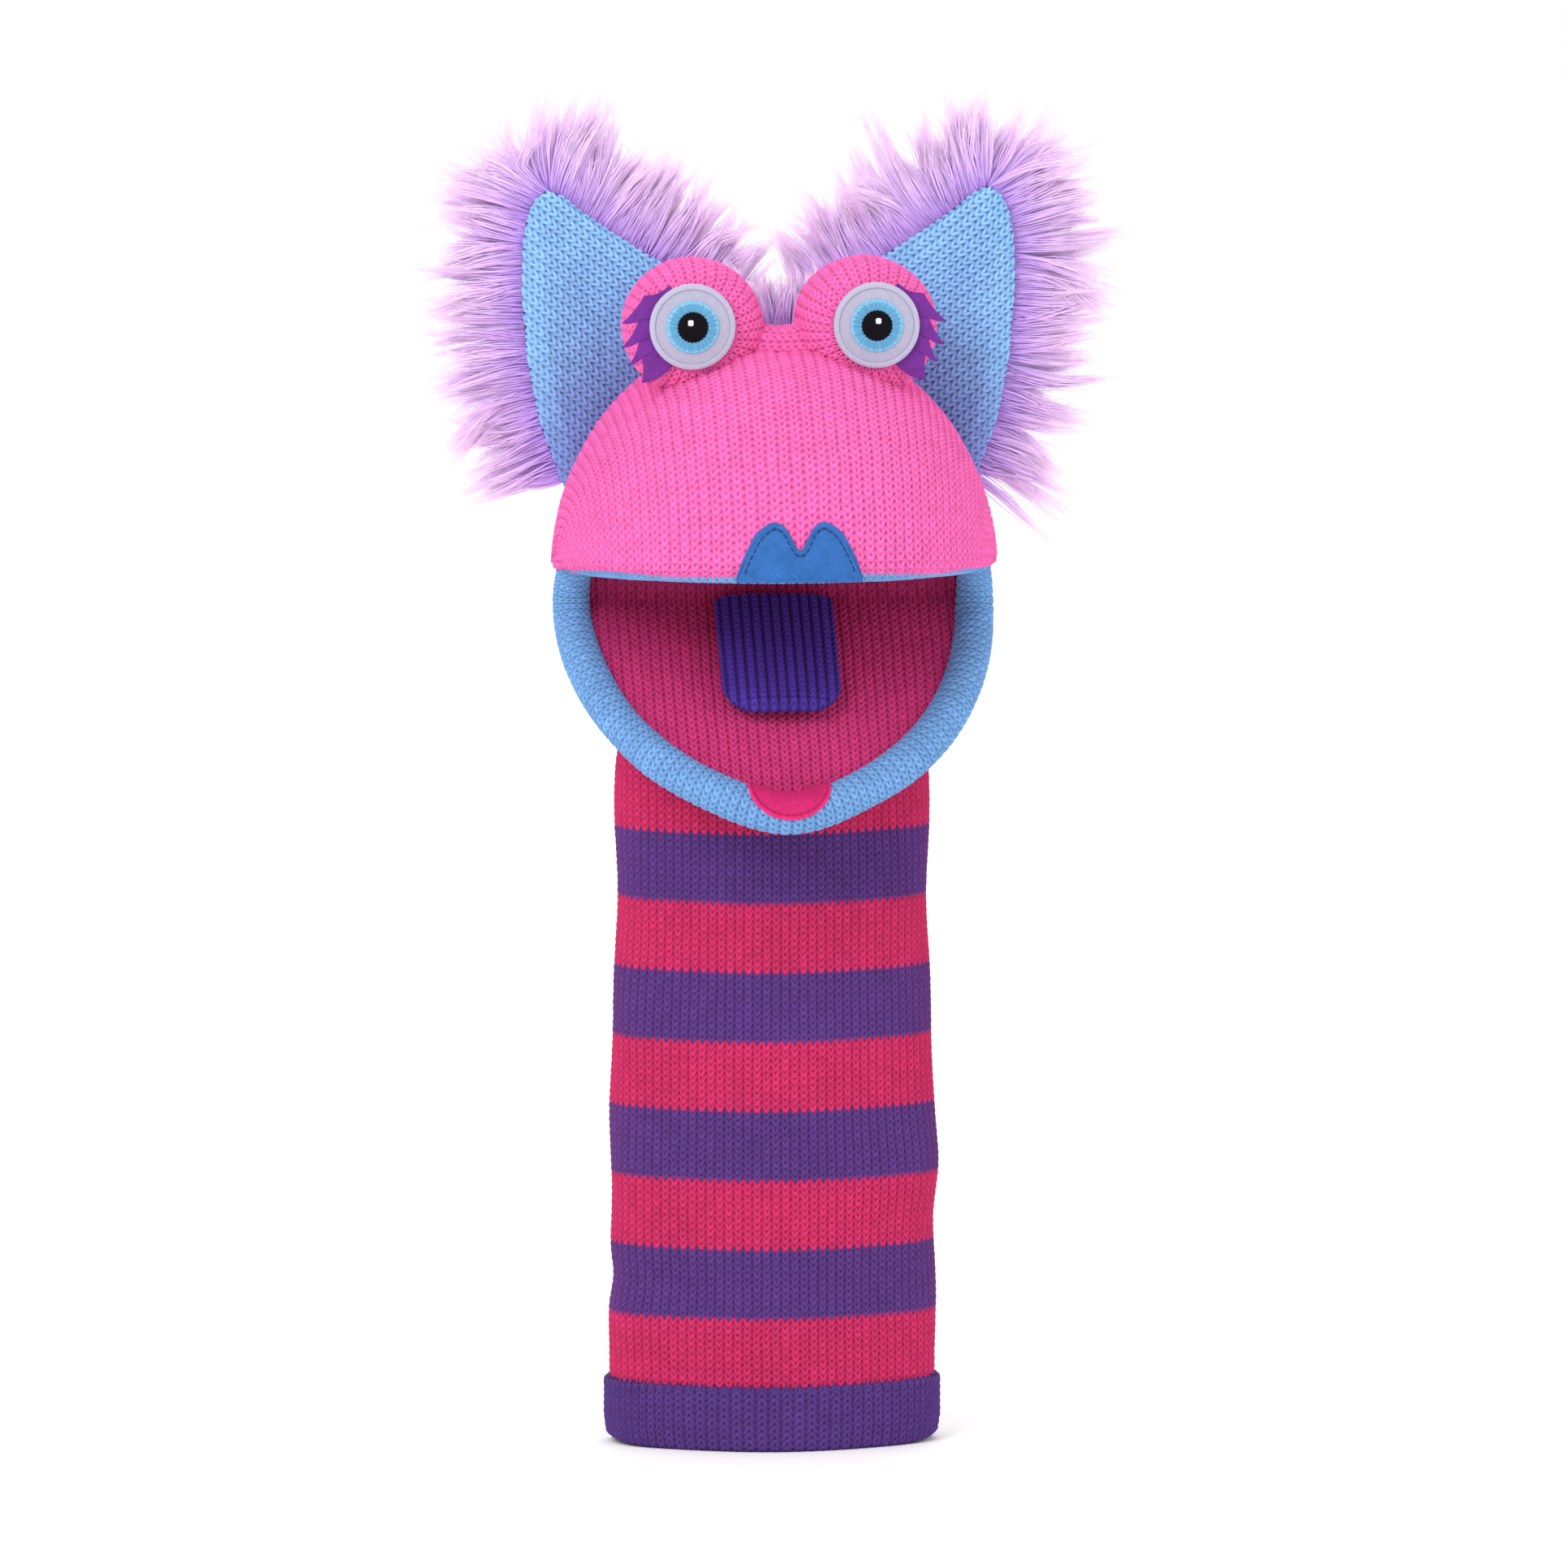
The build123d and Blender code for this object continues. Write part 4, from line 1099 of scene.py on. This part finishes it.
def ear_grid(cols, rows):
    """The ear's flat outline as a grid of x and z, how far up each row is, and the way to the edge."""
    t = np.linspace(0, 1, rows)
    u = np.linspace(0, 1, cols)[None]
    flat = along(EAR_INNER, t)[:, None] * (1 - u[..., None]) + along(EAR_OUTER, t)[:, None] * u[..., None]
    edge = np.minimum(u, 1 - u) * np.linalg.norm(flat[:, -1] - flat[:, 0], axis=-1)[:, None]
    return flat, t[:, None], edge


def ear_swell(edge):
    """How far the hide's back stands out of the ear's plane, rounded at the edge."""
    return 5.5 * np.sqrt(clip01(edge / 8.0))


def make_ear(side):
    """The ear's knitted front, hollowed between its two rounded edges."""
    name = SIDES[side]
    flat, t, edge = ear_grid(190, 250)
    x, z = flat[..., 0], flat[..., 1]
    depth = 3.4 * np.sqrt(clip01(edge / 7.0)) - 3.4 * clip01((edge - 6) / 20) ** 1.2 * clip01(1.1 - t)
    uneven = 0.7 * smooth_noise(np.stack([x, z, 0 * x], -1), 18.0, side + 3)
    p = np.stack([side * x, EAR_Y + 3.8 - depth + uneven, z], -1)
    # the knit runs up the ear's lean; painted shade, purple-blue, gathers where the ear meets the head
    up, cross = 0.80 * x + 0.60 * z, -0.60 * x + 0.80 * z
    near = clip01((x * 0.724 + (z - 262) * 0.69 - 66) / 26)[..., None]
    colour = EAR_PAINTED_SHADE * (1 - near) * 0.6 + EAR_BLUE * (0.4 + 0.6 * near)
    obj = knit("ear_knit_" + name, p, cross / 3.1, up / 2.3, colour, depth=0.85, sign=side, wobble=0.07)
    finish_piece(obj, YARN_EAR, "ear_" + name, "ear_knit", "ear_front_" + name, "ear_wadding_" + name)


# ------------------------------------------------------------------ fur
def nearest(roots, centres):
    """The number of the centre nearest to each root, worked out in batches."""
    owner = np.zeros(len(roots), int)
    for at in range(0, len(roots), 2000):
        batch = slice(at, at + 2000)
        owner[batch] = ((roots[batch, None] - centres[None]) ** 2).sum(-1).argmin(1)
    return owner


def fur_strands(name, roots, heads, lengths, body, locks, tufts, node, width=0.36, segments=7):
    """Long pile as tapered ribbons, gathered into pointed tufts that are gathered into curving locks.
    roots and heads are (n, 3) points and unit directions in mm, lengths in mm."""
    n = len(roots)
    t = np.linspace(0, 1, segments + 1)[None, :, None]

    def spine(pick, spread, reach):
        count = len(pick)
        aim = unit(heads[pick] + rng.normal(0, spread, (count, 3)))
        size = (lengths[pick] * rng.uniform(*reach, count))[:, None]
        bow = rng.normal(0, 1, (count, 3)) * size * 0.14 + np.array([0, 0, -0.06]) * size
        return roots[pick][:, None] + (aim * size)[:, None] * t + bow[:, None] * t**2

    lock_at = rng.choice(n, locks, replace=False)
    tuft_at = rng.choice(n, tufts, replace=False)
    lock_line, tuft_line = spine(lock_at, 0.20, (0.80, 1.22)), spine(tuft_at, 0.14, (0.8, 1.1))
    lock_of_tuft = nearest(roots[tuft_at], roots[lock_at])
    pull = 0.62 * t**1.2
    tuft_line = tuft_line * (1 - pull) + lock_line[lock_of_tuft] * pull
    owner = nearest(roots, roots[tuft_at])
    own = unit(heads + rng.normal(0, 0.12, (n, 3)))
    own = own * (lengths * rng.uniform(0.75, 1.0, n))[:, None]
    stray = rng.random((n, 1, 1)) < 0.06
    pull = np.where(stray, 0.4, rng.uniform(0.86, 0.99, (n, 1, 1))) * t**0.7
    line = (roots[:, None] + own[:, None] * t) * (1 - pull) + tuft_line[owner] * pull
    line = line + rng.normal(0, 0.22, (n, 1, 3)) * t
    # a strand ends short of its tuft's tip
    line = line[:, :1] + (line - line[:, :1]) * rng.uniform(0.72, 1.0, (n, 1, 1))
    facing = rng.normal(0, 1, (n, 1, 3)) * 0.5 + np.array([0.1, -1.0, 0.2])
    side = unit(np.cross(unit(np.gradient(line, axis=1)), facing))
    taper = width * (1 - t**1.6 * 0.9) * rng.uniform(0.7, 1.2, (n, 1, 1))
    verts = np.stack([line - side * taper / 2, line + side * taper / 2], 2).reshape(-1, 3)
    first = (np.arange(n) * (segments + 1) * 2)[:, None] + np.arange(segments)[None] * 2
    faces = np.stack([first, first + 1, first + 3, first + 2], -1).reshape(-1, 4)
    # darker at the root, paler at the tip, each tuft and strand a little different; the pale tips are painted
    # light shining through the pile
    tone = rng.uniform(0.92, 1.06, (n, 1, 1)) * (0.93 + 0.12 * rng.random(tufts))[owner][:, None, None]
    low, high = clip01(t * 2.4), clip01(t * 1.7 - 0.7)
    colour = (FUR_ROOT * (1 - low) + FUR_MID * low) * (1 - high) + FUR_TIP * high
    col = np.repeat((colour * tone)[:, :, None], 2, 2).reshape(-1, 3)
    obj = make_mesh(name, verts, faces, Col=clip01(col))
    finish_piece(obj, FUR, body, "fur_lilac", node)


def make_ear_back(side):
    """The ear's back: a padded hide with pile rooted all over it and round its edge."""
    name = SIDES[side]
    flat, _, edge = ear_grid(60, 60)
    p = np.stack([side * flat[..., 0], EAR_Y + 5.2 + ear_swell(edge), flat[..., 1]], -1)
    faces = grid_faces(*edge.shape)
    if side > 0:
        faces = faces[:, ::-1]
    obj = make_mesh("ear_hide_" + name, p, faces, Col=np.broadcast_to(FUR_ROOT * 0.8, p.shape))
    finish_piece(obj, FUR, "ear_" + name, "fur_lilac")
    # roots all over the back, more of them near its two edges
    count = 17000
    u, t = rng.random(count), rng.random(count) ** 0.8
    rim = rng.random(count) < 0.55
    inner_edge = rng.random(count) < 0.5
    near = np.abs(rng.normal(0, 0.05, count))
    u = np.where(rim, np.where(inner_edge, near, 1 - near), u)
    inner, outer = along(EAR_INNER, t), along(EAR_OUTER, t)
    gap = np.minimum(u, 1 - u) * np.linalg.norm(outer - inner, axis=1)
    q = inner * (1 - u[:, None]) + outer * u[:, None]
    roots = np.stack([side * q[:, 0], EAR_Y + 5.0 + ear_swell(gap), q[:, 1]], -1)
    # the pile points away from the ear's middle: up at its tip, down at its foot
    share = clip01(u)[:, None]
    tip, foot = 4 * clip01(t - 0.75)[:, None], clip01((330 - q[:, 1:]) / 45)
    out = np.array([-0.56, 0.83]) * (1 - share) + np.array([0.99, -0.02]) * share
    out = unit(out + np.array([0.15, 0.7]) * tip + np.array([0.2, -0.55]) * foot)
    back = clip01(gap / 18.0) * 0.5 + rng.uniform(0.0, 0.24, count)
    heads = unit(np.stack([side * out[:, 0], back, out[:, 1]], -1))
    lengths = rng.uniform(28, 34, count)
    fur_strands("ear_pile_" + name, roots, heads, lengths, "ear_" + name, 110, 430, "ear_fur_" + name)


def make_mane():
    """A rounded patch of pile from behind the brow down the back of the head."""
    count, first, reach = 13000, 0.50, 0.43
    turn = rng.uniform(first * math.pi, (first + reach) * math.pi, count)
    share = (turn / math.pi - first) / reach
    half = 15 + 6 * np.sin(math.pi * clip01(share)) - 14 * clip01(share - 0.75)
    x = rng.uniform(-1, 1, count) * half
    roots = head_points(np.arcsin(x / HEAD[0]), turn) + rng.normal(0, 0.3, (count, 3))
    heads = unit(np.stack([x * 0.014, 0.55 + 0.1 * share, 0.25 + 1.1 * np.sin(turn)], -1))
    lengths = rng.uniform(18, 25, count) * (1 - 0.25 * share)
    fur_strands("mane_pile", roots, heads, lengths, "head", 80, 300, "mane_fur")


# ------------------------------------------------------------------ inside
INSIDE = {
    "head_foam": ("wadding_fleece", (0.86, 0.86, 0.84), 420.0),
    "finger_pocket": ("pocket_weave", (0.62, 0.56, 0.56), 1800.0),
    "thumb_pocket": ("pocket_weave_thumb", (0.62, 0.56, 0.56), 1800.0),
    "upper_jaw_board": ("board_upper", (0.80, 0.79, 0.74), 900.0),
    "lower_jaw_board": ("board_lower", (0.80, 0.79, 0.74), 900.0),
}


def dress_inside():
    """Cloth, wadding and board on the CAD parts that stay in view up the sleeve."""
    for node, (name, colour, scale) in INSIDE.items():
        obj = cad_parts[node]
        mat = plain_cloth(name, colour, scale)
        if not obj.material_slots:
            obj.data.materials.append(mat)
        for slot in obj.material_slots:
            slot.material = mat


# ------------------------------------------------------------------ stage
def make_stage():
    """A plain pale floor and an even white surround."""
    size = 6000.0
    verts = [(-size, -size, 0), (size, -size, 0), (size, size, 0), (-size, size, 0)]
    floor = make_mesh("floor", verts, [(0, 1, 2, 3)])
    mat, bsdf = new_material("floor_white", roughness=0.8)
    g = Graph(mat)
    coords = g.coords()
    g.link(g.ramp(g.noise(coords, 3.0), [0.93] * 3, [0.95] * 3), bsdf.inputs["Base Color"])
    floor.data.materials.append(mat)
    world = bpy.data.worlds.new("studio")
    bpy.context.scene.world = world
    world.use_nodes = True
    back = world.node_tree.nodes["Background"]
    back.inputs["Color"].default_value = (1, 1, 1, 1)
    back.inputs["Strength"].default_value = 1.06


def lamp(name, place, aim, size, watts):
    """A soft area light."""
    data = bpy.data.lights.new(name, "AREA")
    data.shape = "RECTANGLE"
    data.size, data.size_y = size
    data.energy = watts
    obj = bpy.data.objects.new(name, data)
    obj.location = place
    obj.rotation_euler = (Vector(aim) - Vector(place)).to_track_quat("-Z", "Y").to_euler()
    bpy.context.scene.collection.objects.link(obj)


def make_camera():
    """A long lens from a little above and left of the front."""
    azimuth, elevation, distance = math.radians(-5.0), math.radians(7.0), 12.0
    view_width, sensor = 0.4675, 36.0
    data = bpy.data.cameras.new("camera")
    data.sensor_width = sensor
    data.lens = sensor * distance / view_width
    data.clip_start, data.clip_end = 0.05, 30
    cam = bpy.data.objects.new("camera", data)
    bpy.context.scene.collection.objects.link(cam)
    right = Vector((math.cos(azimuth), math.sin(azimuth), 0))
    level = Vector((math.sin(azimuth), -math.cos(azimuth), 0))
    back = level * math.cos(elevation) + Vector((0, 0, math.sin(elevation)))
    cam.location = right * 0.0036 + Vector((0, 0, 0.197)) + back * distance
    cam.rotation_mode = "QUATERNION"
    cam.rotation_quaternion = (-back).to_track_quat("-Z", "Y")
    bpy.context.scene.camera = cam


bpy.context.scene.view_settings.view_transform = "Standard"
make_camera()
make_stage()
lamp("key", (-0.9, -1.3, 1.25), (0, 0, 0.24), (0.8, 0.8), 16)
lamp("fill", (1.3, -1.0, 0.7), (0, 0, 0.2), (1.2, 1.2), 4)
lamp("rim", (0.2, 1.2, 1.2), (0, 0, 0.28), (1.0, 0.6), 5)

make_sleeve()
make_sleeve_inside()
make_hem()
make_head()
for side in SIDES:
    make_mound(side)
    make_eye_ground(side)
    make_iris(side)
    make_pupil(side)
    make_lashes(side)
    make_ear(side)
    make_ear_back(side)
make_bridge()
make_lip_roll()
make_lining()
make_chin()
make_cheeks()
make_tongue()
make_upper_patch()
make_lower_patch()
make_mane()
dress_inside()
